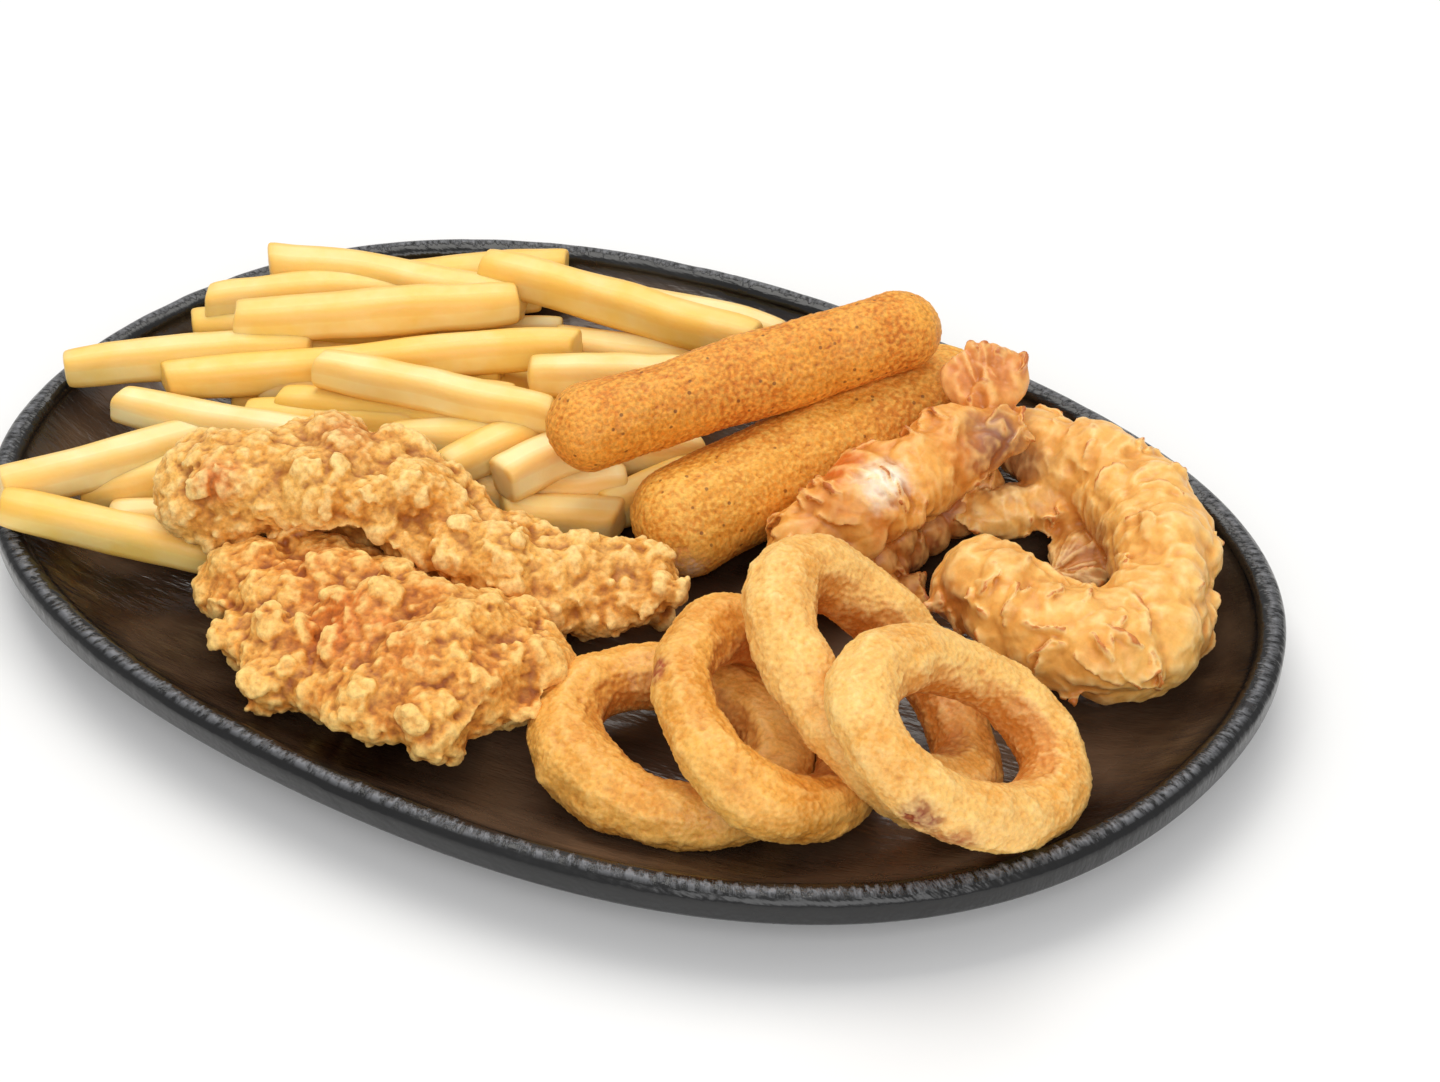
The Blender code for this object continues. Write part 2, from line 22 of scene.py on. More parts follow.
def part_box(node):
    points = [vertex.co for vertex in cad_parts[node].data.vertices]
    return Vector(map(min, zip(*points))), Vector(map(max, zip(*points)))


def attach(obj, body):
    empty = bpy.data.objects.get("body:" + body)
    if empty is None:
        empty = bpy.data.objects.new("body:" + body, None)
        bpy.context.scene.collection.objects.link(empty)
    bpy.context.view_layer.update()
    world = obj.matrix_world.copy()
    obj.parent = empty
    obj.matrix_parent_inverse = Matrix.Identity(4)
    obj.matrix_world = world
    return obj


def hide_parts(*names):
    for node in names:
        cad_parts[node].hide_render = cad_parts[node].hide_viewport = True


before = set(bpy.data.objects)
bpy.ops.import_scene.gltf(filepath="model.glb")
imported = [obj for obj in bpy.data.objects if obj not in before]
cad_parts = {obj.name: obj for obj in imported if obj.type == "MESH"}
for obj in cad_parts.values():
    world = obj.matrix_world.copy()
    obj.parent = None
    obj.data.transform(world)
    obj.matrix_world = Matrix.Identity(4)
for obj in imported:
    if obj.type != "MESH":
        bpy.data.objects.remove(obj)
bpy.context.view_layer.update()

log = logging.getLogger("fried_platter")

MM = 0.001
WELD = 0.01 * MM
COARSE_GRID = 0.8  # the grid that a coated piece is first meshed on
FLECK_SPACING = 4.5  # between the small spots that browned first
SPECK_SPACING = 3.6  # between herb specks
WALL_STEPS = 12  # steps of the plate's profile up its outer wall
RIM_STEPS = 16  # over its rim
INNER_STEPS = 30  # and down to its floor
UNDERSIDE = -10.0  # marks the plate's underside in ACROSS
HEAP_SEED = 11  # lays the fries as the solid has them
TONE_SEED = 5  # for how golden each fry is

# Names of the values that a mesh carries to its material
BULGE = "bulge"  # how far a point stands out of the 2 mm round it, in millimetres
SWELLING = "swelling"  # how far it stands out of the 4 mm round it, in millimetres
INWARD = "inward"  # how squarely a point on a ring faces the ring's middle, which sets the painted shade on its inner wall
EDGE = "edge"  # 1 along a fry's cut edges
END = "end"  # 1 at a fry's ends
TONE = "tone"  # a number from 0 to 1 for each fry
AROUND = "around"  # the plate's distance along its rim, in millimetres
ACROSS = "across"  # the plate's distance in from its outer edge, in millimetres


# Tools


def linear(colour: str) -> tuple[float, float, float, float]:
    """Turn an sRGB hex colour into linear values.

    Args:
        colour: The colour, as in "#E0A860".

    Returns:
        Red, green and blue in linear light, and an alpha of 1.
    """
    values = []
    for start in (1, 3, 5):
        share = int(colour[start:start + 2], 16) / 255
        values.append(share / 12.92 if share <= 0.04045 else ((share + 0.055) / 1.055) ** 2.4)
    return (*values, 1.0)


def socket(sockets: bpy.types.bpy_prop_collection, name: str | int) -> NodeSocket:
    """Find a node's socket by its place, or the one in use by its name.

    Args:
        sockets: The node's inputs or outputs.
        name: The socket's name, or its place in the list.

    Returns:
        The socket.
    """
    if isinstance(name, int):
        return sockets[name]
    return next(item for item in sockets if item.enabled and item.name == name)


def add_node(tree: NodeTree, kind: str, inputs: dict | None = None, **settings) -> Node:
    """Add a node with its settings and links.

    Args:
        tree: The tree that gets the node.
        kind: The node's Blender type.
        inputs: By input name or place, a value, or an output or a node to link from.
        settings: The node's own properties.

    Returns:
        The new node.
    """
    node = tree.nodes.new(kind)
    for name, value in settings.items():
        setattr(node, name, value)
    for name, value in (inputs or {}).items():
        target = socket(node.inputs, name)
        for source in value if isinstance(value, list) else [value]:
            if isinstance(source, Node):
                source = next(item for item in source.outputs if item.enabled)
            if isinstance(source, NodeSocket):
                tree.links.new(source, target)
            else:
                target.default_value = source
    return node


def new_piece(name: str, data: ID) -> Object:
    """Link a mesh, a camera or a light as an object at the origin."""
    piece = bpy.data.objects.new(name, data)
    bpy.context.scene.collection.objects.link(piece)
    return piece


def mesh_from(shape: BMesh, name: str) -> Mesh:
    """Write a bmesh out as a smooth mesh and free it."""
    mesh = bpy.data.meshes.new(name)
    shape.to_mesh(mesh)
    shape.free()
    mesh.shade_smooth()
    return mesh


def settle(piece: Object) -> Object:
    """Make what a piece's modifiers show its plain mesh, and remove them."""
    depsgraph = bpy.context.evaluated_depsgraph_get()
    mesh = bpy.data.meshes.new_from_object(piece.evaluated_get(depsgraph), depsgraph=depsgraph)
    piece.modifiers.clear()
    piece.data = mesh
    mesh.name = piece.name
    return piece


def cad_copy(node: str, name: str) -> Object:
    """A free copy of a CAD node, its loose triangles merged into one skin.

    Args:
        node: The CAD node.
        name: The copy's name.

    Returns:
        The copy, in the node's place.
    """
    shape = bmesh.new()
    shape.from_mesh(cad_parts[node].data)
    bmesh.ops.remove_doubles(shape, verts=shape.verts, dist=WELD)
    return new_piece(name, mesh_from(shape, name))


def turned(heading: float, tilt: float = 0.0) -> Matrix:
    """A turn that points +X along a heading, and then up by a tilt, both in degrees."""
    return Matrix.Rotation(math.radians(heading), 4, "Z") @ Matrix.Rotation(math.radians(-tilt), 4, "Y")


def skin_between(shape: BMesh, rings: list[list[BMVert]]) -> None:
    """Close the skin from each ring of points to the next."""
    for near, far in zip(rings, rings[1:]):
        for index, point in enumerate(near):
            following = (index + 1) % len(near)
            shape.faces.new((point, near[following], far[following], far[index]))


def hand_over(piece: Object, slot: str, *nodes: str) -> None:
    """Hang a finished piece on the root body, hide the CAD nodes that it stands for, and log its faces."""
    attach(piece, "root")
    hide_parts(*nodes)
    log.info("%s: %d faces", piece.name, len(piece.data.polygons))


def new_material(name: str) -> tuple[Material, NodeTree, NodeSocket]:
    """Start a material: itself, its tree, and each point's place on the platter."""
    material = bpy.data.materials.new(name)
    material.use_nodes = True
    tree = material.node_tree
    return material, tree, add_node(tree, "ShaderNodeTexCoord").outputs["Object"]


def lay_coats(tree: NodeTree, colour: tuple[float, ...], coats: list[tuple]) -> Node:
    """Lay colours over one another.

    Args:
        tree: The material's tree.
        colour: The linear colour under them all.
        coats: For each coat, the value that it goes by, where it begins, where it is full, how
            far it covers there, and its hex colour.

    Returns:
        The node with the colour that shows.
    """
    for value, start, full, most, coat in coats:
        cover = add_node(tree, "ShaderNodeMapRange",
                         {"Value": value, "From Min": start, "From Max": full, "To Max": most})
        colour = add_node(tree, "ShaderNodeMix", {"Factor": cover, "A": colour, "B": linear(coat)},
                          data_type="RGBA")
    return colour


def set_surface(tree: NodeTree, colour: NodeSocket, height: NodeSocket,
                strength: float, depth: float, dull: Node, settings: dict) -> None:
    """Join a material's colour, bump and dullness to its shader.

    Args:
        tree: The material's tree.
        colour: The colour that shows.
        height: The height of the finest relief, from 0 to 1.
        strength: How strongly that relief shows.
        depth: Its depth.
        dull: The node with the roughness.
        settings: The shader's other values, by input name.
    """
    shader = tree.nodes["Principled BSDF"]
    bump = add_node(tree, "ShaderNodeBump", {"Height": height, "Strength": strength, "Distance": depth * MM})
    tree.links.new(colour, shader.inputs["Base Color"])
    tree.links.new(bump.outputs["Normal"], shader.inputs["Normal"])
    tree.links.new(dull.outputs[0], shader.inputs["Roughness"])
    for name, value in settings.items():
        shader.inputs[name].default_value = value


# Shaping by Geometry Nodes


class ShapingTree:
    """A Geometry Nodes tree with named sizes, put on a piece as a modifier."""

    def __init__(self, name: str) -> None:
        """Start a tree with the geometry that comes in and goes out."""
        self.tree = bpy.data.node_groups.new(name, "GeometryNodeTree")
        self.tree.is_modifier = True
        self.tree.interface.new_socket(name="Geometry", in_out="INPUT", socket_type="NodeSocketGeometry")
        self.tree.interface.new_socket(name="Geometry", in_out="OUTPUT", socket_type="NodeSocketGeometry")
        self.entry = add_node(self.tree, "NodeGroupInput")
        self.exit = add_node(self.tree, "NodeGroupOutput")
        self.values: dict[str, float] = {}

    def size(self, name: str, value: float) -> NodeSocket:
        """Add a named number to the tree's inputs.

        Args:
            name: The input's name.
            value: The number that the piece's modifier gets.

        Returns:
            The socket that carries the number.
        """
        item = self.tree.interface.new_socket(name=name, in_out="INPUT", socket_type="NodeSocketFloat")
        self.values[item.identifier] = value
        return self.entry.outputs[name]

    def end(self, geometry: Node, material: Material) -> None:
        """Close the tree: real geometry, in its material."""
        real = add_node(self.tree, "GeometryNodeRealizeInstances", {"Geometry": geometry})
        dressed = add_node(self.tree, "GeometryNodeSetMaterial", {"Geometry": real, "Material": material})
        self.tree.links.new(dressed.outputs["Geometry"], self.exit.inputs["Geometry"])

    def put_on(self, piece: Object) -> None:
        """Add the tree to a piece as a modifier, with its sizes set."""
        modifier = piece.modifiers.new(self.tree.name, "NODES")
        modifier.node_group = self.tree
        for identifier, value in self.values.items():
            modifier[identifier] = value


class Form(Enum):
    """The forms that a coating's surface takes."""

    SWELL = "soft swelling"
    CRUMBS = "round crumbs with creases between them"
    CRAGS = "broken lumps with narrow creases between them"
    FOLDS = "crests of folded skin"


# How a form's pattern turns into height: by this slope, from this level; and the pattern's detail
RISES = {Form.SWELL: (2.0, 0.0, 1.0), Form.CRUMBS: (-1.6, 0.45, 0.0), Form.CRAGS: (6.0, -0.5, 2.0),
         Form.FOLDS: (-5.0, 0.5, 1.0)}


@dataclass(frozen=True)
class Curl:
    """The curl that a prawn's folds fan out from.

    Attributes:
        middle: The middle of the curl.
        opens: The heading in which it is open, in degrees.
        reach: From the middle to the prawn's back.
    """

    middle: tuple[float, float, float]
    opens: float
    reach: float


@dataclass(frozen=True)
class Layer:
    """One layer of a surface's relief.

    Attributes:
        name: What it is on the real piece.
        form: Its form.
        size: The distance from one rise to the next.
        depth: How far it rises and sinks.
        stretch: How its pattern is drawn out along X, Y and Z, or round, across and up a curl.
        curl: The curl that it follows, if any.
        warp: How far its pattern is pushed about, as a share of its size.
    """

    name: str
    form: Form
    size: float
    depth: float
    stretch: tuple[float, float, float] = (1.0, 1.0, 1.0)
    curl: Curl | None = None
    warp: float = 0.0

    def place(self, tree: NodeTree, position: Node) -> Node:
        """Lay the pattern's axes over the piece.

        Args:
            tree: The tree that the pattern is in.
            position: The node with each point's position.

        Returns:
            The node whose vector runs along the pattern's axes, in metres.
        """
        if self.curl:
            middle = tuple(value * MM for value in self.curl.middle)
            about = add_node(tree, "ShaderNodeVectorMath", {0: position, 1: middle}, operation="SUBTRACT")
            angle = math.radians(180 - self.curl.opens)
            spun = add_node(tree, "ShaderNodeVectorRotate", {"Vector": about, "Angle": angle},
                            rotation_type="Z_AXIS")
            parts = add_node(tree, "ShaderNodeSeparateXYZ", {"Vector": spun})
            turn = add_node(tree, "ShaderNodeMath", {0: parts.outputs["Y"], 1: parts.outputs["X"]},
                            operation="ARCTAN2")
            arc = add_node(tree, "ShaderNodeMath", {0: turn, 1: self.curl.reach * MM}, operation="MULTIPLY")
            out = add_node(tree, "ShaderNodeVectorMath", {0: about}, operation="LENGTH")
            position = add_node(tree, "ShaderNodeCombineXYZ",
                                {"X": arc, "Y": out.outputs["Value"], "Z": parts.outputs["Z"]})
        if self.warp:
            cloud = add_node(tree, "ShaderNodeTexNoise",
                             {"Vector": position, "Scale": 0.8 / (self.size * MM), "Detail": 1.0})
            centred = add_node(tree, "ShaderNodeVectorMath", {0: cloud.outputs["Color"], 1: (0.5, 0.5, 0.5)},
                               operation="SUBTRACT")
            most = 2 * self.warp * self.size * MM
            pushed = add_node(tree, "ShaderNodeVectorMath", {0: centred, "Scale": most}, operation="SCALE")
            position = add_node(tree, "ShaderNodeVectorMath", {0: position, 1: pushed}, operation="ADD")
        return add_node(tree, "ShaderNodeVectorMath", {0: position, 1: self.stretch}, operation="DIVIDE")


@dataclass(frozen=True)
class Scatter:
    """Lumps or flakes of coating strewn over a surface.

    Attributes:
        name: What they are.
        spacing: The least distance between two of them.
        least: The radius of the smallest.
        most: The radius of the largest.
        flatness: Their thickness as a share of their width.
        tilt: How far they may tip off the surface, in degrees.
        cover: The share of the surface that they take.
    """

    name: str
    spacing: float
    least: float
    most: float
    flatness: float
    tilt: float
    cover: float = 1.0


def relief_tree(layers: tuple[Layer, ...], seed: int, material: Material,
                measures: dict[str, int] | None = None) -> ShapingTree:
    """A tree that raises a surface in layers.

    Args:
        layers: The layers of relief.
        seed: Sets this piece's pattern apart from the others.
        material: The piece's material.
        measures: By the name of a value to store, the rounds of blurring that the surface is
            measured against.

    Returns:
        The tree, which also stores how far each point stands out, for the material.
    """
    shaping = ShapingTree("relief")
    tree = shaping.tree
    position = add_node(tree, "GeometryNodeInputPosition")
    normal = add_node(tree, "GeometryNodeInputNormal")
    total = None
    for number, layer in enumerate(layers):
        size = shaping.size(layer.name + " size", layer.size * MM)
        depth = shaping.size(layer.name + " depth", layer.depth * MM)
        drawn = layer.place(tree, position)
        scale = add_node(tree, "ShaderNodeMath", {0: 1.0, 1: size}, operation="DIVIDE")
        scaled = add_node(tree, "ShaderNodeVectorMath", {0: drawn, "Scale": scale}, operation="SCALE")
        shift = (3.7 * seed + number, 1.3 * seed, 2.9 * number)
        spot = add_node(tree, "ShaderNodeVectorMath", {0: scaled, 1: shift}, operation="ADD")
        slope, middle, detail = RISES[layer.form]
        if layer.form is Form.CRUMBS:
            cell = add_node(tree, "ShaderNodeTexVoronoi", {"Vector": spot, "Scale": 1.0})
            shape = add_node(tree, "ShaderNodeMath", {0: cell.outputs[0], 1: 2.0}, operation="POWER")
        else:
            cloud = add_node(tree, "ShaderNodeTexNoise", {"Vector": spot, "Scale": 1.0, "Detail": detail})
            shape = add_node(tree, "ShaderNodeMath", {0: cloud.outputs[0], 1: 0.5}, operation="SUBTRACT")
        if layer.form in (Form.FOLDS, Form.CRAGS):
            shape = add_node(tree, "ShaderNodeMath", {0: shape}, operation="ABSOLUTE")
        rise = add_node(tree, "ShaderNodeMath", {0: shape, 1: slope, 2: middle}, operation="MULTIPLY_ADD")
        height = add_node(tree, "ShaderNodeMath", {0: rise, 1: depth}, operation="MULTIPLY")
        total = height if total is None else add_node(
            tree, "ShaderNodeMath", {0: total, 1: height}, operation="ADD")
    offset = add_node(tree, "ShaderNodeVectorMath", {0: normal, "Scale": total}, operation="SCALE")
    surface = add_node(tree, "GeometryNodeSetPosition",
                       {"Geometry": shaping.entry.outputs[0], "Offset": offset})
    for name, rounds in (measures or {}).items():
        blurred = add_node(tree, "GeometryNodeBlurAttribute", {0: position, "Iterations": rounds},
                           data_type="FLOAT_VECTOR")
        away = add_node(tree, "ShaderNodeVectorMath", {0: position, 1: blurred}, operation="SUBTRACT")
        out = add_node(tree, "ShaderNodeVectorMath", {0: away, 1: normal}, operation="DOT_PRODUCT")
        proud = add_node(tree, "ShaderNodeMath", {0: out.outputs["Value"], 1: 1 / MM}, operation="MULTIPLY")
        surface = add_node(tree, "GeometryNodeStoreNamedAttribute",
                           {"Geometry": surface, "Name": name, "Value": proud}, domain="POINT")
    shaping.end(surface, material)
    return shaping


def scatter_tree(scatter: Scatter, seed: int, material: Material) -> ShapingTree:
    """A tree that strews lumps or flakes over a surface and keeps the surface.

    Args:
        scatter: What is strewn.
        seed: Fixes where they fall.
        material: The piece's material.

    Returns:
        The tree.
    """
    shaping = ShapingTree("scatter")
    tree = shaping.tree
    spacing = shaping.size("Spacing", scatter.spacing * MM)
    least = shaping.size("Least radius", scatter.least * MM)
    most = shaping.size("Most radius", scatter.most * MM)
    surface = shaping.entry.outputs[0]
    density = 4.0 / (scatter.spacing * MM) ** 2
    points = add_node(tree, "GeometryNodeDistributePointsOnFaces",
                      {"Mesh": surface, "Distance Min": spacing, "Density Max": density, "Seed": seed},
                      distribute_method="POISSON")
    ball = add_node(tree, "GeometryNodeMeshIcoSphere", {"Radius": 1.0, "Subdivisions": 2})
    lump = add_node(tree, "GeometryNodeTransform",
                    {"Geometry": ball.outputs[0], "Scale": (1.0, 0.8, scatter.flatness)})
    radius = add_node(tree, "FunctionNodeRandomValue", {"Min": least, "Max": most, "Seed": seed + 1},
                      data_type="FLOAT")
    chosen = add_node(tree, "FunctionNodeRandomValue", {"Probability": scatter.cover, "Seed": seed + 2},
                      data_type="BOOLEAN")
    placed = add_node(tree, "GeometryNodeInstanceOnPoints",
                      {"Points": points.outputs["Points"], "Selection": chosen, "Instance": lump,
                       "Rotation": points.outputs["Rotation"], "Scale": radius})
    tip = math.radians(scatter.tilt)
    turn = add_node(tree, "FunctionNodeRandomValue",
                    {"Min": (-tip, -tip, 0.0), "Max": (tip, tip, math.tau), "Seed": seed + 3},
                    data_type="FLOAT_VECTOR")
    spun = add_node(tree, "GeometryNodeRotateInstances", {"Instances": placed, "Rotation": turn})
    real = add_node(tree, "GeometryNodeRealizeInstances", {"Geometry": spun})
    both = add_node(tree, "GeometryNodeJoinGeometry", {"Geometry": [surface, real]})
    shaping.end(both, material)
    return shaping


# Finishes


@dataclass(frozen=True)
class Patch:
    """A place where a coating took another colour, or where shade is painted on it.

    Attributes:
        centre: Its middle, in the platter's frame.
        radius: How far it reaches.
        colour: Its colour.
        strength: How far it covers what is under it, up to 1.
    """

    centre: tuple[float, float, float]
    radius: float
    colour: str
    strength: float

    def mask(self, tree: NodeTree, place: NodeSocket) -> Node:
        """Mark the patch, with a ragged edge.

        Args:
            tree: The material's tree.
            place: The point's place on the platter.

        Returns:
            The node that says how far the patch covers a point.
        """
        centre = tuple(value * MM for value in self.centre)
        radius = self.radius * MM
        far = add_node(tree, "ShaderNodeVectorMath", {0: place, 1: centre}, operation="DISTANCE")
        ragged = add_node(tree, "ShaderNodeTexNoise", {"Vector": place, "Scale": 220.0, "Detail": 2.0})
        reach = add_node(tree, "ShaderNodeMath", {0: ragged.outputs[0], 1: radius, 2: far.outputs["Value"]},
                         operation="MULTIPLY_ADD")
        return add_node(tree, "ShaderNodeMapRange",
                        {"Value": reach, "From Min": 0.7 * radius, "From Max": 1.5 * radius,
                         "To Min": self.strength, "To Max": 0.0}, interpolation_type="SMOOTHSTEP")


@dataclass(frozen=True)
class CoatingFinish:
    """A fried coating: painted shade in its creases, a painted highlight on its crowns, toasted in places.

    Attributes:
        name: The material's name.
        crease_shade: The colour deep between crumbs, painted shade.
        body: The colour of most of it.
        crown: The colour of what stands proud, a painted highlight.
        toast: The colour of the places that fried longer.
        bulge: The rise at which the crown colour is reached.
        hollow: The swelling at and below which a place is shaded as a hollow.
        proud: The swelling at and above which it is painted pale as a highlight.
        shade: How far the crease colour's painted shade covers what is under it.
        toast_size: The size of the toasted places.
        toast_share: How much of the surface they take.
        roughness: How dull the oily surface is.
        grit: The size of the finest crumb, drawn by the bump.
        grit_depth: The depth of that crumb.
        grain: How much lighter and darker that crumb is than the colour round it.
        glow: How much of the light passes through it.
        fleck: The colour of the small spots that browned first.
        fleck_share: How far they cover what is under them.
        tip: The colour of thin crests, which fry darkest, or none.
        speck: The colour of herb specks, or none.
        patches: Places with a colour of their own, or with painted shade.
        inner: The painted shade on a ring's inner wall, or none.
    """

    name: str
    crease_shade: str
    body: str
    crown: str
    toast: str
    bulge: float = 0.35
    hollow: float = -1.2
    proud: float = 1.8
    shade: float = 0.85
    toast_size: float = 14.0
    toast_share: float = 0.45
    roughness: float = 0.55
    grit: float = 0.6
    grit_depth: float = 0.12
    grain: float = 0.14
    glow: float = 0.12
    fleck: str = "#C8701F"
    fleck_share: float = 0.4
    tip: str | None = None
    speck: str | None = None
    patches: tuple[Patch, ...] = ()
    inner: str | None = None

    def material(self) -> Material:
        """Build the material.

        Returns:
            The material, which reads the piece's bulge and its place on the platter.
        """
        material, tree, place = new_material(self.name)
        cloud, spots, fine = (
            add_node(tree, "ShaderNodeTexNoise", {"Vector": place, "Scale": 1 / (size * MM),
                                                  "Detail": detail, "Roughness": rough}).outputs[0]
            for size, detail, rough in ((self.toast_size, 3.0, 0.5), (FLECK_SPACING, 4.0, 0.7),
                                        (self.grit, 2.0, 0.6)))
        edge = 0.5 + 0.3 * (0.5 - self.toast_share)
        toasted = add_node(tree, "ShaderNodeMapRange",
                           {"Value": cloud, "From Min": edge - 0.1, "From Max": edge + 0.15},
                           interpolation_type="SMOOTHSTEP")
        coats = [(toasted, 0.0, 1.0, 1.0, self.toast), (spots, 0.50, 0.68, self.fleck_share, self.fleck)]
        # Painted shade on a ring's inner wall, which the ring itself shades
        if self.inner:
            inward = add_node(tree, "ShaderNodeAttribute", attribute_name=INWARD).outputs["Fac"]
            coats.append((inward, 0.15, 0.85, 1.0, self.inner))
        coats += [(patch.mask(tree, place), 0.0, 1.0, 1.0, patch.colour) for patch in self.patches]
        bulge, swelling = (add_node(tree, "ShaderNodeAttribute", attribute_name=name).outputs["Fac"]
                           for name in (BULGE, SWELLING))
        # Painted shade in the hollows and between crumbs, and a painted highlight on what stands proud
        between = (self.hollow + self.proud) / 2
        coats += [(swelling, between, self.hollow, 0.75 * self.shade, self.crease_shade),
                  (swelling, between, self.proud, 0.6, self.crown),
                  (bulge, 0.0, self.bulge, 0.7, self.crown),
                  (bulge, -0.05, -self.bulge, self.shade, self.crease_shade)]
        if self.tip:
            coats.append((bulge, 0.7 * self.bulge, 1.3 * self.bulge, 0.9, self.tip))
        if self.speck:
            cell = add_node(tree, "ShaderNodeTexVoronoi",
                            {"Vector": place, "Scale": 1 / (SPECK_SPACING * MM)})
            coats.append((cell.outputs["Distance"], 0.15, 0.10, 0.75, self.speck))
        colour = lay_coats(tree, linear(self.body), coats)
        grain = add_node(tree, "ShaderNodeMapRange",
                         {"Value": fine, "From Min": 0.35, "From Max": 0.65,
                          "To Min": 1 - self.grain, "To Max": 1 + self.grain})
        colour = add_node(tree, "ShaderNodeVectorMath", {0: colour, "Scale": grain}, operation="SCALE")
        dull = add_node(tree, "ShaderNodeMapRange",
                        {"Value": cloud, "From Min": 0.3, "From Max": 0.7,
                         "To Min": self.roughness - 0.1, "To Max": self.roughness + 0.12})
        set_surface(tree, colour.outputs[0], fine, 0.8, self.grit_depth, dull,
                    {"Subsurface Weight": self.glow, "Subsurface Radius": (1.0, 0.5, 0.2),
                     "Subsurface Scale": 2.0 * MM, "IOR": 1.46})
        return material


# The coating's own colours are pale gold where the batter is thin and orange where the oil browned it;
# the red-brown in the creases and a ring's darker inner wall are painted shade, and the pale crown
# colour is a painted highlight.
FINE_CRUMB = CoatingFinish(
    "fine_breadcrumb_deep_fried", crease_shade="#B86016", body="#DF902C", crown="#F2AE48", toast="#CF761C",
    bulge=0.14, toast_size=24.0, toast_share=0.5, roughness=0.6, grit=0.9, grit_depth=0.3, grain=0.2,
    speck="#6B3A12")
PALE_CRUMB = CoatingFinish(
    "fine_breadcrumb_lightly_fried", crease_shade="#C0721E", body="#E8A038", crown="#F8C25C", toast="#D88628",
    bulge=0.14, toast_size=24.0, toast_share=0.4, roughness=0.6, grit=0.9, grit_depth=0.3, grain=0.14,
    speck="#7A4518", patches=(Patch((18.0, -1.5, 14.0), 6.5, "#F6E0C4", 0.85),))
RING_CRUMB = CoatingFinish(
    "golden_ring_crumb", crease_shade="#CE8230", body="#F7C068", crown="#FDD68A", toast="#EAA648",
    bulge=0.4, toast_size=16.0, toast_share=0.4, roughness=0.5, grit=0.9, grit_depth=0.2, grain=0.09,
    fleck="#DC8E36", fleck_share=0.35, inner="#CC7D2E",
    patches=(Patch((102.0, -77.0, 37.5), 7.0, "#862E08", 1.0),
             Patch((107.5, -73.5, 30.0), 7.0, "#A04814", 0.85)))
BROWNED_RING = replace(
    RING_CRUMB, name="golden_ring_crumb_browned", crease_shade="#C06E1E", body="#F0B050", crown="#FAC872",
    toast="#E09634", fleck="#D07E28", inner="#C4722A",
    patches=(Patch((38.5, -61.5, 40.0), 4.5, "#9E3C28", 0.9),))
ROUGH_BATTER = CoatingFinish(
    "craggy_flour_crust", crease_shade="#94490E", body="#EAA648", crown="#FDD27E", toast="#D8842A",
    bulge=0.5, proud=1.5, toast_size=12.0, toast_share=0.4, roughness=0.6, grit=0.9, grit_depth=0.25,
    fleck="#CE7E2E", glow=0.06,
    patches=(Patch((-33.0, -69.0, 34.0), 15.0, "#D46C1C", 0.75),
             Patch((-16.0, -72.0, 34.0), 11.0, "#D4741F", 0.6),
             Patch((-50.0, -50.0, 30.0), 12.0, "#D07A2C", 0.5)))
PALE_BATTER = replace(
    ROUGH_BATTER, name="craggy_flour_crust_pale", crease_shade="#A05A16", body="#EDB154", crown="#FDD88C",
    toast="#DE9636", patches=(Patch((-77.0, -46.0, 42.0), 8.0, "#D2661C", 0.8),
                              Patch((-57.0, -22.0, 46.0), 11.0, "#C66C28", 0.65),
                              Patch((10.0, -24.0, 14.0), 20.0, "#D2903E", 0.5)))
FLAKY_BATTER = CoatingFinish(
    "blistered_wet_batter", crease_shade="#CE8436", body="#F6BA60", crown="#FFDC96", toast="#ECA84E",
    bulge=0.36, proud=1.6, shade=0.7, toast_share=0.4, roughness=0.4, grit=1.6, grain=0.05,
    fleck="#DE9440", fleck_share=0.3, tip="#C86C1E",
    # The dark brown patch low in the curl's hollow is painted shade
    patches=(Patch((104.0, 36.0, 13.0), 19.0, "#A4602F", 0.85),
             Patch((78.0, 0.0, 22.0), 13.0, "#D0742A", 0.75),
             Patch((134.0, 18.0, 16.0), 14.0, "#CE7A2C", 0.6),
             Patch((112.0, -12.0, 10.0), 18.0, "#C87428", 0.6),
             Patch((79.0, 52.0, 22.0), 14.0, "#905A40", 0.75)))
BROWNED_BATTER = replace(
    FLAKY_BATTER, name="blistered_wet_batter_browned", crease_shade="#B4641E", body="#EFA94E", crown="#FBC97C",
    toast="#DC8630", fleck="#D27A2A", tip="#B85A16",
    patches=(Patch((56.8, 18.5, 37.5), 9.0, "#FDF3DC", 0.95),
             Patch((45.0, 21.0, 35.0), 9.0, "#D8611A", 0.85),
             Patch((76.0, 45.0, 35.5), 13.0, "#8E5844", 0.9),
             # The two dark brown patches low along the hollow are painted shade
             Patch((62.0, 24.0, 10.0), 18.0, "#9C5630", 0.85),
             Patch((68.0, 42.0, 14.0), 16.0, "#9C5630", 0.85),
             Patch((63.0, 67.0, 42.0), 22.0, "#DA8848", 0.9)))


# Coated pieces


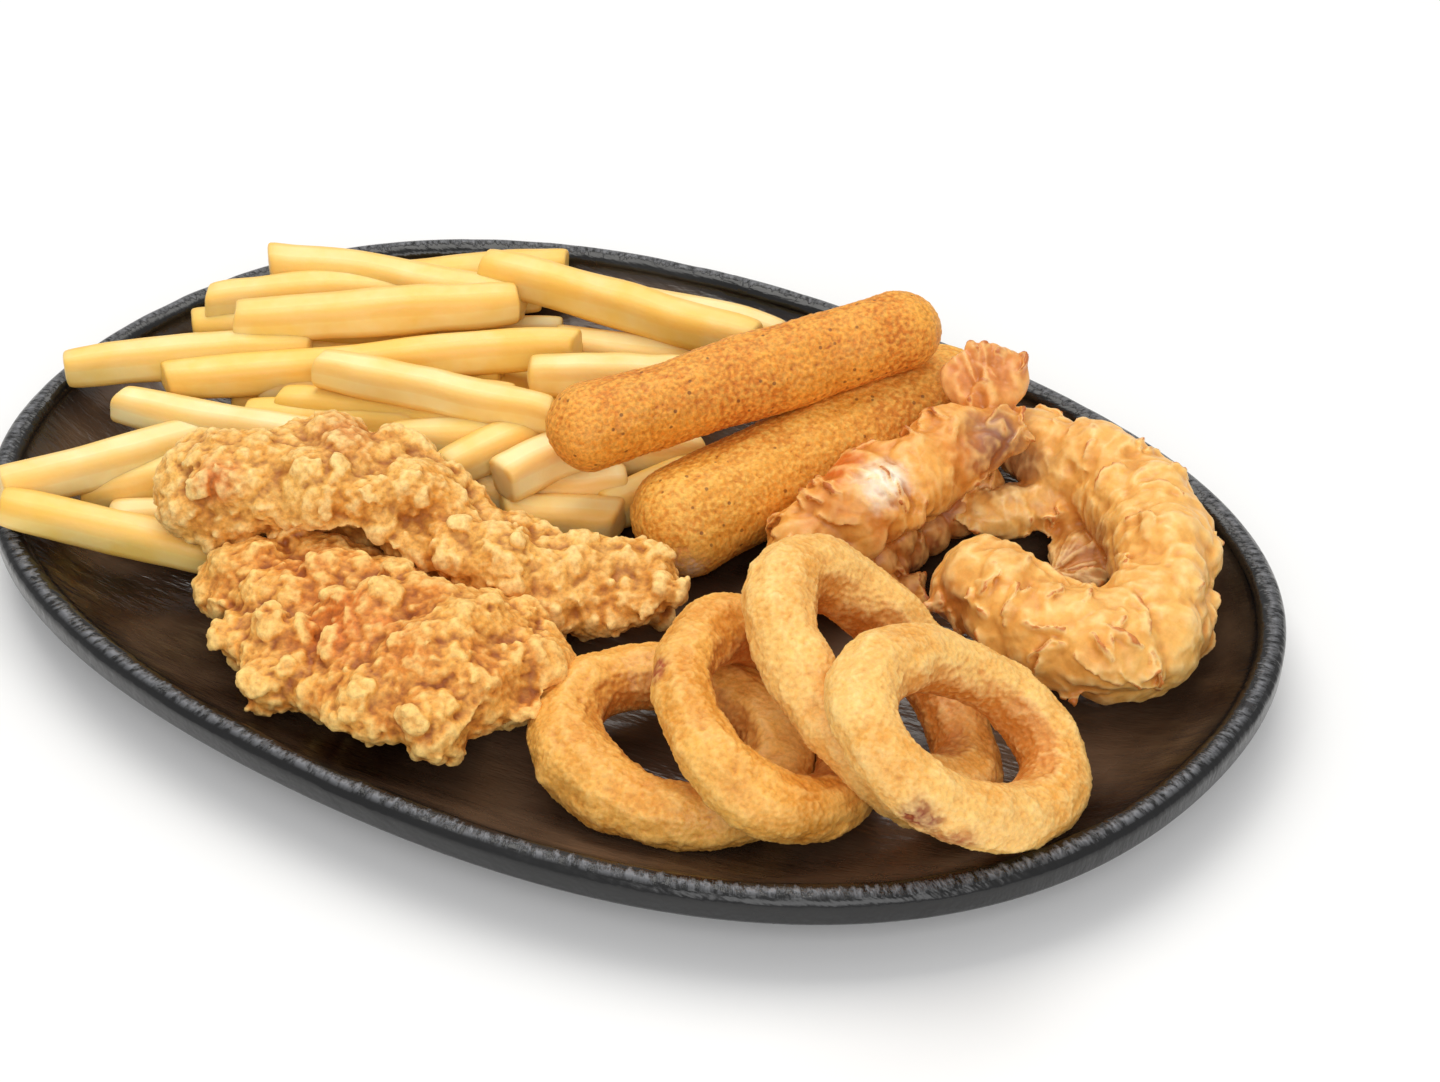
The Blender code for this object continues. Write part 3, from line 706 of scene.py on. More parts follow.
@dataclass
class CoatedPiece:
    """A piece of food in its fried coating, worked up from its CAD solid.

    Attributes:
        node: The CAD node that it stands for.
        slot: The record's material slot; not used.
        material: Its finish.
        seed: Sets its pattern apart.
        voxel: The edge of the finest grid that it is meshed on.
        rounding: The rounds of smoothing that take the solid's facets off.
        softening: The rounds of smoothing that blend what is strewn into the skin.
        sink: How far the solid is drawn in before the coating is put on.
        lobes: The large relief under the coating.
        strewn: The lumps and flakes of coating.
        relief: The fine relief on top.
        drops: Round swellings of coating that the solid leaves out: x, y, z and radius.
    """

    node: str
    slot: str
    material: Material
    seed: int
    drops: tuple[tuple[float, float, float, float], ...] = ()
    voxel: float = 0.5
    rounding: int = 10
    softening: int = 1
    sink: float = 0.3
    lobes: tuple[Layer, ...] = ()
    strewn: tuple[Scatter, ...] = ()
    relief: tuple[Layer, ...] = ()

    def extras(self, shape: BMesh) -> None:
        """Add the drops, each a closed ball sunk into the skin."""
        for x, y, z, radius in self.drops:
            made = bmesh.ops.create_icosphere(shape, subdivisions=3, radius=radius * MM)["verts"]
            for vertex in made:
                vertex.co += Vector((x, y, z)) * MM

    def remesh(self, piece: Object, voxel: float, rounds: int) -> None:
        """Join what overlaps into one even skin, and smooth it.

        Args:
            piece: The piece.
            voxel: The skin's grid.
            rounds: The rounds of smoothing.
        """
        skin = piece.modifiers.new("skin", "REMESH")
        skin.mode = "VOXEL"
        skin.voxel_size = voxel * MM
        if rounds:
            soft = piece.modifiers.new("soften", "SMOOTH")
            soft.factor = 0.5
            soft.iterations = rounds

    def build(self) -> Object:
        """Work the piece up in its layers.

        Returns:
            The finished piece.
        """
        piece = cad_copy(self.node, self.node + "_coating")
        shape = bmesh.new()
        shape.from_mesh(piece.data)
        for vertex in shape.verts:
            vertex.co -= vertex.normal * self.sink * MM
        shape.to_mesh(piece.data)
        shape.free()
        self.remesh(piece, COARSE_GRID, self.rounding)
        if self.lobes:
            relief_tree(self.lobes, self.seed, self.material).put_on(piece)
        settle(piece)
        shape = bmesh.new()
        shape.from_mesh(piece.data)
        self.extras(shape)
        shape.to_mesh(piece.data)
        shape.free()
        for number, scatter in enumerate(self.strewn):
            scatter_tree(scatter, 10 * self.seed + number, self.material).put_on(piece)
        self.remesh(piece, self.voxel, self.softening)
        relief_tree(self.relief, self.seed + 40, self.material, {BULGE: 16, SWELLING: 80}).put_on(piece)
        settle(piece)
        piece.data.shade_smooth()
        hand_over(piece, self.slot, self.node)
        return piece


@dataclass
class BreadedStick(CoatedPiece):
    """A stick in an even coat of fine breadcrumb."""

    rounding: int = 14
    sink: float = 0.1
    relief: tuple[Layer, ...] = (
        Layer("Dent", Form.SWELL, 12.0, 0.6),
        Layer("Crumb", Form.CRUMBS, 1.3, 0.16, warp=0.5),
        Layer("Grain", Form.SWELL, 1.0, 0.28),
    )


@dataclass
class OnionRing(CoatedPiece):
    """A ring of onion in a thick golden crumb."""

    voxel: float = 0.45
    rounding: int = 12
    sink: float = -0.2
    relief: tuple[Layer, ...] = (
        Layer("Lump", Form.SWELL, 9.0, 1.0),
        Layer("Knob", Form.SWELL, 3.6, 0.35),
        Layer("Crumb", Form.CRUMBS, 1.3, 0.24, warp=0.6),
        Layer("Grain", Form.SWELL, 0.9, 0.25),
    )

    def build(self) -> Object:
        """Work the ring up, then note which way each point faces.

        Returns:
            The finished ring.
        """
        piece = super().build()
        low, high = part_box(self.node)
        middle = (low + high) / 2
        facing = piece.data.attributes.new(INWARD, "FLOAT", "POINT")
        for vertex, value in zip(piece.data.vertices, facing.data):
            value.value = max(0.0, vertex.normal.dot((middle - vertex.co).normalized()))
        return piece


@dataclass
class ChickenStrip(CoatedPiece):
    """A strip of chicken in a craggy flour crust, all lobes, lumps and crumbs."""

    voxel: float = 0.55
    rounding: int = 6
    softening: int = 3
    lobes: tuple[Layer, ...] = (
        Layer("Lobe", Form.CRUMBS, 15.0, 4.6, warp=0.6),
        Layer("Fold", Form.SWELL, 8.0, 1.2),
    )
    strewn: tuple[Scatter, ...] = (
        Scatter("Nuggets", 7.5, 2.2, 5.0, 0.42, 16.0, 0.5),
        Scatter("Crumbs", 2.8, 0.6, 1.4, 0.8, 20.0, 0.3),
    )
    relief: tuple[Layer, ...] = (
        Layer("Crag", Form.CRAGS, 6.5, 0.8),
        Layer("Crumb", Form.CRUMBS, 2.2, 0.35, warp=0.8),
        Layer("Grain", Form.SWELL, 1.2, 0.25),
    )


@dataclass(frozen=True)
class Crest:
    """A thin crest of crisp batter that stands along a line on a prawn.

    Attributes:
        start: Near where it starts; it is moved onto the skin.
        heading: The way it runs.
        length: Its length along the skin.
        height: Its greatest height.
        lean: How far it leans off the skin's normal, in degrees.
    """

    start: Vector
    heading: Vector
    length: float
    height: float
    lean: float


@dataclass(frozen=True)
class TailFan:
    """The prawn's tail: narrow blades that spread from one foot.

    Attributes:
        foot: Where the blades meet.
        tip: The tip of the middle blade.
        spread: The heading in which the fan opens, in degrees.
        blades: How many blades it has.
        splay: The angle from one blade to the next, in degrees.
        width: A blade's width.
        thickness: A blade's thickness.
    """

    foot: tuple[float, float, float]
    tip: tuple[float, float, float]
    spread: float
    blades: int = 6
    splay: float = 7.0
    width: float = 7.4
    thickness: float = 3.8

    def add_to(self, shape: BMesh) -> None:
        """Add the blades to a mesh, each one a long flat lens with a rib."""
        foot = Vector(self.foot)
        up = Vector(self.tip) - foot
        length = up.length
        up.normalize()
        wide = Vector((math.cos(math.radians(self.spread)), math.sin(math.radians(self.spread)), 0.0))
        thick = up.cross(wide).normalized()
        wide = thick.cross(up)
        for number in range(self.blades):
            side = number - (self.blades - 1) / 2
            turn = Matrix.Rotation(math.radians(self.splay * side), 4, -thick)
            axes = turn @ Matrix((wide, thick, up)).transposed().to_4x4()
            reach = length * (1.0 - 0.05 * abs(side) + 0.04 * (number % 2))
            made = bmesh.ops.create_uvsphere(shape, u_segments=16, v_segments=12, radius=0.5)["verts"]
            for vertex in made:
                point = vertex.co
                rib = 1 + 0.5 * max(0.0, 1 - abs(point.x) * 8)
                width = self.width * (0.75 + 0.5 * point.z)
                local = Vector((point.x * width, point.y * self.thickness * rib + 0.6 * (number % 2),
                                (point.z + 0.5) * reach - 2.0))
                vertex.co = (foot + axes.to_3x3() @ local) * MM


@dataclass
class BatteredPrawn(CoatedPiece):
    """A curled prawn in smooth blistered batter, with crests and drops that fried stiff.

    Attributes:
        curl: The curl that its folds fan out from.
        crests: How many crests run over it.
        fan: Its tail, if it shows.
        crest_width: The thickness of a crest at its foot.
    """

    curl: Curl = field(default_factory=lambda: Curl((95.0, 30.0, 18.0), 180.0, 25.0))
    crests: int = 60
    fan: TailFan | None = None
    crest_width: float = 1.0
    voxel: float = 0.42
    rounding: int = 6
    softening: int = 0
    sink: float = 0.6
    lobes: tuple[Layer, ...] = (Layer("Blister", Form.CRUMBS, 14.0, 2.6, warp=0.5),)
    relief: tuple[Layer, ...] = (
        Layer("Wrinkle", Form.SWELL, 4.0, 0.45),
        Layer("Pimple", Form.SWELL, 1.8, 0.12),
    )

    def __post_init__(self) -> None:
        """Lay the folds across the prawn's body."""
        self.lobes += (Layer("Fold", Form.FOLDS, 9.0, 1.0, (1.0, 2.2, 2.2), self.curl, 0.5),)
        self.relief += (Layer("Ridge", Form.FOLDS, 4.5, 0.3, (1.0, 2.5, 2.5), self.curl, 0.6),)

    def extras(self, shape: BMesh) -> None:
        """Add the crests, the drops and the tail.

        Args:
            shape: The prawn's mesh.
        """
        super().extras(shape)
        shape.normal_update()
        skin = BVHTree.FromBMesh(shape)
        draw = random.Random(self.seed)
        spots = [vertex for vertex in shape.verts if vertex.normal.z > -0.3]
        places = [(vertex.co.copy(), vertex.normal.copy()) for vertex in draw.sample(spots, self.crests)]
        middle = Vector(self.curl.middle) * MM
        for spot, normal in places:
            away = (spot - middle).normalized()
            on_edge = normal.z < 0.35 and normal.dot(away) > 0.3
            turn = Matrix.Rotation(draw.uniform(-0.6, 0.6) + (math.pi / 2 if on_edge else 0.0), 3, normal)
            heading = turn @ (away - normal * away.dot(normal) + Vector((0, 0, 0.01)))
            length = draw.uniform(7, 15) if on_edge else draw.uniform(5, 13)
            crest = Crest(spot, heading.normalized(), length, draw.uniform(1.2, 2.8), draw.uniform(40, 72))
            self.add_crest(shape, crest, skin, draw)
        if self.fan:
            self.fan.add_to(shape)

    def add_crest(self, shape: BMesh, crest: Crest, skin: BVHTree, draw: random.Random) -> None:
        """Add one crest to the prawn's mesh.

        Args:
            shape: The mesh.
            crest: The crest.
            skin: The prawn's skin, which it follows.
            draw: The seeded draws for its waves.
        """
        steps = max(4, round(crest.length))
        point = crest.start
        heading = crest.heading
        lean = math.radians(crest.lean)
        phase = draw.uniform(0, math.tau)
        bend = draw.uniform(-0.08, 0.08)
        rows = []
        for step in range(steps + 1):
            share = step / steps
            spot, normal, _, _ = skin.find_nearest(point)
            along = (heading - normal * heading.dot(normal)).normalized()
            side = normal.cross(along)
            leaning = normal * math.cos(lean) + side * math.sin(lean)
            across = side * math.cos(lean) - normal * math.sin(lean)
            rise = crest.height * math.sin(math.pi * (0.06 + 0.88 * share)) ** 0.6 * draw.uniform(0.75, 1.1)
            wave = across * math.sin(phase + 1.1 * step) * 0.35
            half = self.crest_width / 2
            foot = spot - leaning * 0.9 * MM
            top = spot + (leaning * rise + wave) * MM
            corners = (foot - across * half * MM, foot + across * half * MM,
                       top + across * half * 0.6 * MM, top - across * half * 0.6 * MM)
            rows.append([shape.verts.new(corner) for corner in corners])
            heading = Matrix.Rotation(bend, 3, normal) @ along
            point = spot + heading * MM
        skin_between(shape, rows)
        shape.faces.new(rows[0][::-1])
        shape.faces.new(rows[-1])


# The fries


@dataclass(frozen=True)
class Fry:
    """A fry's left end, its length, and the way it points and tips in degrees."""

    x: float
    y: float
    z: float
    length: float
    heading: float
    tilt: float


@dataclass
class FryHeap:
    """The heap of fries, each one a cut stick, over a low core.

    Attributes:
        shown: The fries that show, as the solid has them.
        rows: The fries under and behind them: across the heap in row spacings, height, and how
            far the right end stops short.
        width: A fry's thickness.
        taper: The thickness of the ends as a share of the middle.
        corner: The rounding of the cut edges as a share of the thickness.
        centre: The middle of the heap.
        heading: The way most fries point, in degrees.
        spacing: The distance between rows.
        core: The core's length, width and height.
        clearance: The room left over the plate.
    """

    shown: tuple[Fry, ...]
    rows: tuple[tuple[int, int, int], ...]
    width: float = 10.2
    taper: float = 0.84
    corner: float = 0.3
    centre: tuple[float, float] = (-66.0, 30.0)
    heading: float = 26.0
    spacing: float = 12.5
    core: tuple[float, float, float] = (86.0, 40.0, 30.0)
    clearance: float = 1.4

    def under(self, draw: random.Random) -> list[Fry]:
        """The fries below and behind those that show.

        Args:
            draw: The seeded draws that the solid also used.

        Returns:
            The fries, laid in rows along the heap.
        """
        along = Vector((math.cos(math.radians(self.heading)), math.sin(math.radians(self.heading))))
        across = Vector((-along.y, along.x))
        fries = []
        for row, height, short in self.rows:
            length = draw.uniform(62, 78)
            shift = draw.uniform(-12, 4) - short
            middle = Vector(self.centre) + across * row * self.spacing + along * shift
            start = middle - along * length / 2
            fries.append(Fry(start.x, start.y, height, length, self.heading + draw.uniform(-9, 9), 0))
        return fries

    def section(self) -> list[tuple[float, float, float]]:
        """The rounded square that a fry is cut to.

        Returns:
            Each point across and up as a share of the thickness, and 1 on an edge, 0 between.
        """
        points = []
        flat = 0.5 - self.corner
        for quarter in range(4):
            turn = Matrix.Rotation(math.radians(90 * quarter), 2)
            for step in range(4):
                angle = math.radians(30 * step)
                spot = turn @ Vector((flat + self.corner * math.cos(angle),
                                      flat + self.corner * math.sin(angle)))
                points.append((spot.x, spot.y, 1.0 if step in (1, 2) else 0.7))
            for share in (0.33, 0.67):
                spot = turn @ Vector((flat - 2 * flat * share, 0.5))
                points.append((spot.x, spot.y, 0.0))
        return points

    def add_fry(self, shape: BMesh, fry: Fry, draw: random.Random, plate: BVHTree,
                tone: float) -> None:
        """Add one fry to the heap's mesh.

        Args:
            shape: The heap's mesh.
            fry: Where it lies.
            draw: The seeded draws for its bend and cut.
            plate: The plate's faces, which it is lifted clear of.
            tone: How golden it is, from 0 to 1.
        """
        length = fry.length
        bow_side = draw.uniform(-0.025, 0.025) * length
        bow_up = draw.uniform(-0.015, 0.02) * length
        twist = draw.uniform(-0.2, 0.2)
        width = self.width * draw.uniform(0.9, 1.08)
        slant = draw.uniform(-0.4, 0.4)
        layers = [shape.verts.layers.float[name] for name in (EDGE, END, TONE)]
        section = self.section()
        # Distance from the nearer end, and how far the section is drawn in there
        rounds = [(0.0, 0.80), (0.35, 0.93), (1.1, 1.0)]
        body = [(1.1 + (length - 2.2) * step / 12, 1.0) for step in range(1, 12)]
        stations = rounds + body + [(length - far, drawn) for far, drawn in rounds[::-1]]
        place = Matrix.Translation((fry.x, fry.y, fry.z)) @ turned(fry.heading, fry.tilt)
        new = []
        rings = []

        def spot(along: float, across: float, up: float) -> Vector:
            """Where a point of the straight fry goes when it bends, twists and slants."""
            share = along / length
            belly = max(1 - (2 * share - 1) ** 2, 0.0)
            thickness = width * (self.taper + (1 - self.taper) * math.sqrt(belly))
            side = across * thickness
            rise = up * thickness
            turn = twist * (share - 0.5)
            return Vector((along + slant * side * (2 * share - 1),
                           side * math.cos(turn) - rise * math.sin(turn) + bow_side * belly,
                           side * math.sin(turn) + rise * math.cos(turn) + bow_up * belly))

        def add(point: Vector, edge: float, end: float) -> BMVert:
            """Add a point with its values."""
            shift = Vector((tone * 50, fry.x, fry.y))
            wave = (noise.noise_vector(point / 6.0 + shift) * 0.5
                    + noise.noise_vector(point / 24.0 + shift) * 1.3)
            vertex = shape.verts.new((place @ (point + wave)) * MM)
            for layer, value in zip(layers, (edge, end, tone)):
                vertex[layer] = value
            new.append(vertex)
            return vertex

        for along, drawn in stations:
            end = max(0.0, 1 - min(along, length - along) / 2.5)
            rings.append([add(spot(along, across * drawn, up * drawn), edge, end)
                          for across, up, edge in section])
        skin_between(shape, rings)
        for ring, along in ((rings[0], 0.0), (rings[-1], length)):
            inner = [add(spot(along, across * 0.45, up * 0.45), 0.2, 1.0) for across, up, _ in section]
            middle = add(spot(along, 0.0, 0.0), 0.2, 1.0)
            for index in range(len(section)):
                following = (index + 1) % len(section)
                near = (ring[index], ring[following], inner[following], inner[index])
                last = (inner[index], inner[following], middle)
                for face in (near, last):
                    shape.faces.new(face if along > 0 else face[::-1])
        lift = self.clearance * MM - self.room(new, plate)
        if lift > 0:
            for vertex in new:
                vertex.co.z += lift

    @staticmethod
    def room(vertices: list[BMVert], plate: BVHTree) -> float:
        """The height that the lowest part of a fry has over the plate.

        Args:
            vertices: The fry's points.
            plate: The plate's faces.

        Returns:
            The least height, in metres, or a large one where the plate isn't below.
        """
        least = 1.0
        for vertex in vertices:
            hit = plate.ray_cast(vertex.co + Vector((0, 0, 1)), Vector((0, 0, -1)))[0]
            if hit:
                least = min(least, vertex.co.z - hit.z)
        return least

    def add_core(self, shape: BMesh) -> None:
        """Add the low mound that closes the gaps between fries."""
        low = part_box("fries")[0].z
        made = bmesh.ops.create_uvsphere(shape, u_segments=24, v_segments=12, radius=0.5)["verts"]
        size = Matrix.Diagonal((*(Vector(self.core) * MM), 1.0))
        place = Matrix.Translation((*(Vector(self.centre) * MM), low)) @ turned(self.heading) @ size
        for vertex in made:
            vertex.co.z = max(vertex.co.z, 0.0)
            vertex.co = place @ vertex.co
            vertex[shape.verts.layers.float[EDGE]] = 1.0
            vertex[shape.verts.layers.float[TONE]] = 1.0

    def build(self, material: Material) -> Object:
        """Lay every fry.

        Args:
            material: The fries' finish.

        Returns:
            The heap as one piece.
        """
        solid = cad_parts["plate"].data
        plate = BVHTree.FromPolygons([vertex.co for vertex in solid.vertices],
                                     [face.vertices[:] for face in solid.polygons])
        # The noise of the fries' waves starts from the clock unless it is seeded
        noise.seed_set(HEAP_SEED)
        draw = random.Random(HEAP_SEED)
        tones = random.Random(TONE_SEED)
        shape = bmesh.new()
        for name in (EDGE, END, TONE):
            shape.verts.layers.float.new(name)
        self.add_core(shape)
        for fry in list(self.shown) + self.under(draw):
            self.add_fry(shape, fry, draw, plate, tones.random())
        heap = new_piece("fry_heap", mesh_from(shape, "fry_heap"))
        soft = heap.modifiers.new("soften", "SUBSURF")
        soft.levels = 1
        soft.render_levels = 1
        settle(heap)
        heap.data.shade_smooth()
        heap.data.materials.append(material)
        hand_over(heap, "fried_potato", "fries")
        return heap


@dataclass(frozen=True)
class FriedPotato:
    """Blanched and fried potato: pale faces, golden along the cut edges, a skin of oil.

    Attributes:
        face: The pale colour of a cut face.
        golden: The colour of a face that fried longer.
        edge: The colour along the cut edges.
        end: The colour of the ends.
    """

    face: str = "#FEEBB0"
    golden: str = "#F8CC5C"
    edge: str = "#EFB23C"
    end: str = "#F2BC54"

    def material(self) -> Material:
        """Build the material.

        Returns:
            The material, which reads each fry's edge, end and tone.
        """
        material, tree, place = new_material("fried_potato_flesh")
        edge, end, tone = (add_node(tree, "ShaderNodeAttribute", attribute_name=name).outputs["Fac"]
                           for name in (EDGE, END, TONE))
        cloud = add_node(tree, "ShaderNodeTexNoise",
                         {"Vector": place, "Scale": 90.0, "Detail": 3.0}).outputs[0]
        mixed = add_node(tree, "ShaderNodeMath", {0: cloud, 1: 1.8, 2: tone}, operation="MULTIPLY_ADD")
        colour = lay_coats(tree, linear(self.face),
                           [(mixed, 0.85, 2.0, 0.85, self.golden), (edge, 0.45, 1.0, 0.6, self.edge),
                            (end, 0.3, 1.0, 0.5, self.end)])
        # Starch grain of the cut flesh, drawn a little coarser than it is so that it shows
        fine = add_node(tree, "ShaderNodeTexNoise",
                        {"Vector": place, "Scale": 1 / (1.1 * MM), "Detail": 3.0}).outputs[0]
        dull = add_node(tree, "ShaderNodeMapRange", {"Value": cloud, "To Min": 0.36, "To Max": 0.58})
        set_surface(tree, colour.outputs[2], fine, 0.5, 0.15, dull,
                    {"Subsurface Weight": 0.25, "Subsurface Radius": (1.0, 0.6, 0.2),
                     "Subsurface Scale": 3.0 * MM, "IOR": 1.45})
        return material


# The plate


@dataclass
class StonewarePlate:
    """The oval plate: a hand-shaped outline, a thick worn rim and a shallow well.

    Attributes:
        length: Along X.
        width: Along Y.
        height: To the top of the rim.
        floor: The height of the eating surface.
        rim: The rim's thickness.
        lip: The height of the lower edge of the lip.
        lip_round: How far the lip is rounded.
        foot: From the rim's outer edge in to the flat foot.
        well: From the rim's outer edge in to the flat floor.
        skew: How the outline departs from an ellipse, twice round.
        squareness: How it is drawn to the corners.
        swirl: How it is turned, four times round.
        sides: The steps round the plate.
    """

    length: float = 305.0
    width: float = 208.0
    height: float = 20.7
    floor: float = 5.6
    rim: float = 6.6
    lip: float = 13.4
    lip_round: float = 1.0
    foot: float = 37.0
    well: float = 40.0
    skew: float = -0.007
    squareness: float = -0.016
    swirl: float = 0.019
    sides: int = 320

    def factor(self, angle: float) -> float:
        """How far the outline stands off an ellipse at an angle."""
        return (1 + self.skew * math.sin(2 * angle) + self.squareness * math.cos(4 * angle)
                + self.swirl * math.sin(4 * angle))

    def profile(self) -> list[tuple[float, float]]:
        """The section from the foot out, over the rim and in to the floor.

        Returns:
            Each point's inset from the outer edge, and its height.
        """
        half = self.rim / 2
        arch = half * 0.8
        crown = self.height - arch
        wall = [(self.lip_round + (self.foot - self.lip_round) * (1 - share) ** 1.1,
                 self.lip * 0.95 * share ** 1.35)
                for share in (step / WALL_STEPS for step in range(WALL_STEPS))]
        lip = [(self.lip_round, self.lip), (0.3, self.lip + 0.3), (0.0, self.lip + self.lip_round)]
        rim = [(half - half * math.cos(angle), crown + arch * math.sin(angle))
               for angle in (math.pi * step / RIM_STEPS for step in range(RIM_STEPS + 1))]
        inner = [(self.rim + (self.well - self.rim) * share,
                  self.floor + (crown - self.floor) * (1 - share) ** 2.2)
                 for share in (step / INNER_STEPS for step in range(1, INNER_STEPS + 1))]
        return wall + lip + rim + inner

    def build(self, material: Material) -> Object:
        """Turn the profile round the outline.

        Args:
            material: The glaze.

        Returns:
            The plate.
        """
        angles = [math.tau * step / self.sides for step in range(self.sides)]
        half_x = self.length / 2 / max(self.factor(angle) * math.cos(angle) for angle in angles)
        half_y = self.width / 2 / max(self.factor(angle) * math.sin(angle) for angle in angles)
        shape = bmesh.new()
        around = shape.verts.layers.float.new(AROUND)
        across = shape.verts.layers.float.new(ACROSS)
        rings = []

        def add_ring(inset: float, height: float, scale: float = 1.0, label: float | None = None) -> None:
            """Add one ring of points at an inset and a height."""
            ring = []
            for angle in angles:
                reach = self.factor(angle) * scale
                vertex = shape.verts.new(((half_x - inset) * math.cos(angle) * reach * MM,
                                          (half_y - inset) * math.sin(angle) * reach * MM, height * MM))
                vertex[around] = angle * (half_x + half_y) / 2
                vertex[across] = inset if label is None else label
                ring.append(vertex)
            rings.append(ring)

        foot_steps = 4
        for step in range(1, foot_steps):
            add_ring(self.foot, 0.0, step / foot_steps, label=UNDERSIDE)
        for number, (inset, height) in enumerate(self.profile()):
            add_ring(inset, height, label=-inset - 1 if number < WALL_STEPS else None)
        floor_steps = 16
        for step in range(floor_steps - 1, 0, -1):
            add_ring(self.well, self.floor, step / floor_steps, label=self.well)
        skin_between(shape, rings)
        for ring, height, mark in ((rings[0], 0.0, UNDERSIDE), (rings[-1], self.floor, self.well)):
            middle = shape.verts.new((0.0, 0.0, height * MM))
            middle[across] = mark
            for index in range(self.sides):
                shape.faces.new((ring[index], ring[(index + 1) % self.sides], middle))
        bmesh.ops.recalc_face_normals(shape, faces=shape.faces)
        self.wear(shape, across)
        plate = new_piece("glazed_plate", mesh_from(shape, "glazed_plate"))
        self.fit(plate)
        plate.data.materials.append(material)
        hand_over(plate, "stoneware_glaze", "plate")
        return plate

    def wear(self, shape: BMesh, across: BMLayerItem) -> None:
        """Make the rim uneven, as a hand-worked one is, and the floor wavy.

        Args:
            shape: The plate's mesh.
            across: The layer with each point's inset.
        """
        for vertex in shape.verts:
            inset = vertex[across]
            if 0.5 < inset < self.rim + 4:
                depth = 0.35
            elif inset >= self.rim + 4:
                depth = 0.25
            else:
                depth = 0.0
            drop = noise.noise(vertex.co / (7 * MM)) * depth + noise.noise(vertex.co / (22 * MM)) * depth
            vertex.co.z += min(drop, 0.0) * MM

    def fit(self, plate: Object) -> None:
        """Scale the plate to the box of its solid, which has fewer sides."""
        low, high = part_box("plate")
        points = [vertex.co for vertex in plate.data.vertices]
        for axis in range(3):
            least = min(point[axis] for point in points)
            most = max(point[axis] for point in points)
            scale = (high[axis] - low[axis]) / (most - least)
            for point in points:
                point[axis] = low[axis] + (point[axis] - least) * scale


@dataclass(frozen=True)
class ReactiveGlaze:
    """A dark reactive glaze: brown-black and glossy in the well, broken to grey on the rim.

    Attributes:
        dark: The colour of the thick glaze.
        brown: The colour where it thins.
        rim: The grey clay and matt glaze that show at the rim.
        wall: The satin grey of the outer wall.
        black: The thick glaze that runs beside the rim.
    """

    dark: str = "#251812"
    brown: str = "#6A5340"
    rim: str = "#75767A"
    wall: str = "#3E3E41"
    black: str = "#101011"

    def material(self) -> Material:
        """Build the material.

        Returns:
            The material, which reads how far a point is round and across the plate.
        """
        material, tree, place = new_material("reactive_stoneware_glaze")
        around, across = (add_node(tree, "ShaderNodeAttribute", attribute_name=name).outputs["Fac"]
                          for name in (AROUND, ACROSS))
        # Short strokes across the rim, about 1.5 mm apart and 5 mm long, and long ripples in the well
        unrolled = add_node(tree, "ShaderNodeCombineXYZ", {"X": around, "Y": across})
        patterns = []
        for spot, scale, detail, rough in ((place, (28.0, 28.0, 28.0), 4.0, 0.5),
                                           (unrolled, (0.75, 0.28, 1.0), 3.0, 0.65),
                                           (place, (45.0, 150.0, 60.0), 4.0, 0.6)):
            scaled = add_node(tree, "ShaderNodeVectorMath", {0: spot, 1: scale}, operation="MULTIPLY")
            pattern = add_node(tree, "ShaderNodeTexNoise",
                               {"Vector": scaled, "Scale": 1.0, "Detail": detail, "Roughness": rough})
            patterns.append(pattern.outputs[0])
        cloud, stroke, ripple = patterns
        # By the way in from the outer edge: the rim's crest, all but its outer edge, and the wall
        crest, within, side = (
            add_node(tree, "ShaderNodeMapRange", {"Value": across, "From Min": start, "From Max": end,
                                                  "To Min": first, "To Max": last})
            for start, end, first, last in ((3.4, 7.5, 0.58, 0.0), (1.2, 2.6, 0.0, 1.0),
                                            (-1.2, -0.6, 1.0, 0.0)))
        grey = add_node(tree, "ShaderNodeMath", {0: stroke, 1: crest}, operation="ADD")
        worn = add_node(tree, "ShaderNodeMapRange", {"Value": grey, "From Min": 0.98, "From Max": 1.16})
        shown = add_node(tree, "ShaderNodeMath", {0: worn, 1: within}, operation="MULTIPLY")
        colour = lay_coats(tree, linear(self.dark),
                           [(cloud, 0.35, 0.7, 1.0, self.brown), (across, 12.0, 6.0, 1.0, self.black),
                            (shown, 0.0, 1.0, 1.0, self.rim)])
        streak, gloss = (
            add_node(tree, "ShaderNodeMapRange", {"Value": value, "From Min": 0.3, "From Max": 0.7,
                                                  "To Min": first, "To Max": last})
            for value, first, last in ((stroke, 0.55, 1.4), (cloud, 0.16, 0.32)))
        walled = add_node(tree, "ShaderNodeVectorMath", {0: linear(self.wall)[:3], "Scale": streak},
                          operation="SCALE")
        colour = add_node(tree, "ShaderNodeMix", {"Factor": side, "A": colour, "B": walled}, data_type="RGBA")
        rough_rim = add_node(tree, "ShaderNodeMath", {0: stroke, 1: shown}, operation="MULTIPLY")
        height = add_node(tree, "ShaderNodeMath", {0: rough_rim, 1: 0.6, 2: ripple}, operation="MULTIPLY_ADD")
        dull = gloss
        for cover, roughness in ((shown, 0.6), (side, 0.38)):
            dull = add_node(tree, "ShaderNodeMix", {"Factor": cover, "A": dull, "B": roughness},
                            data_type="FLOAT")
        set_surface(tree, colour.outputs[2], height, 0.8, 1.2, dull, {"IOR": 1.5})
        return material


# The studio


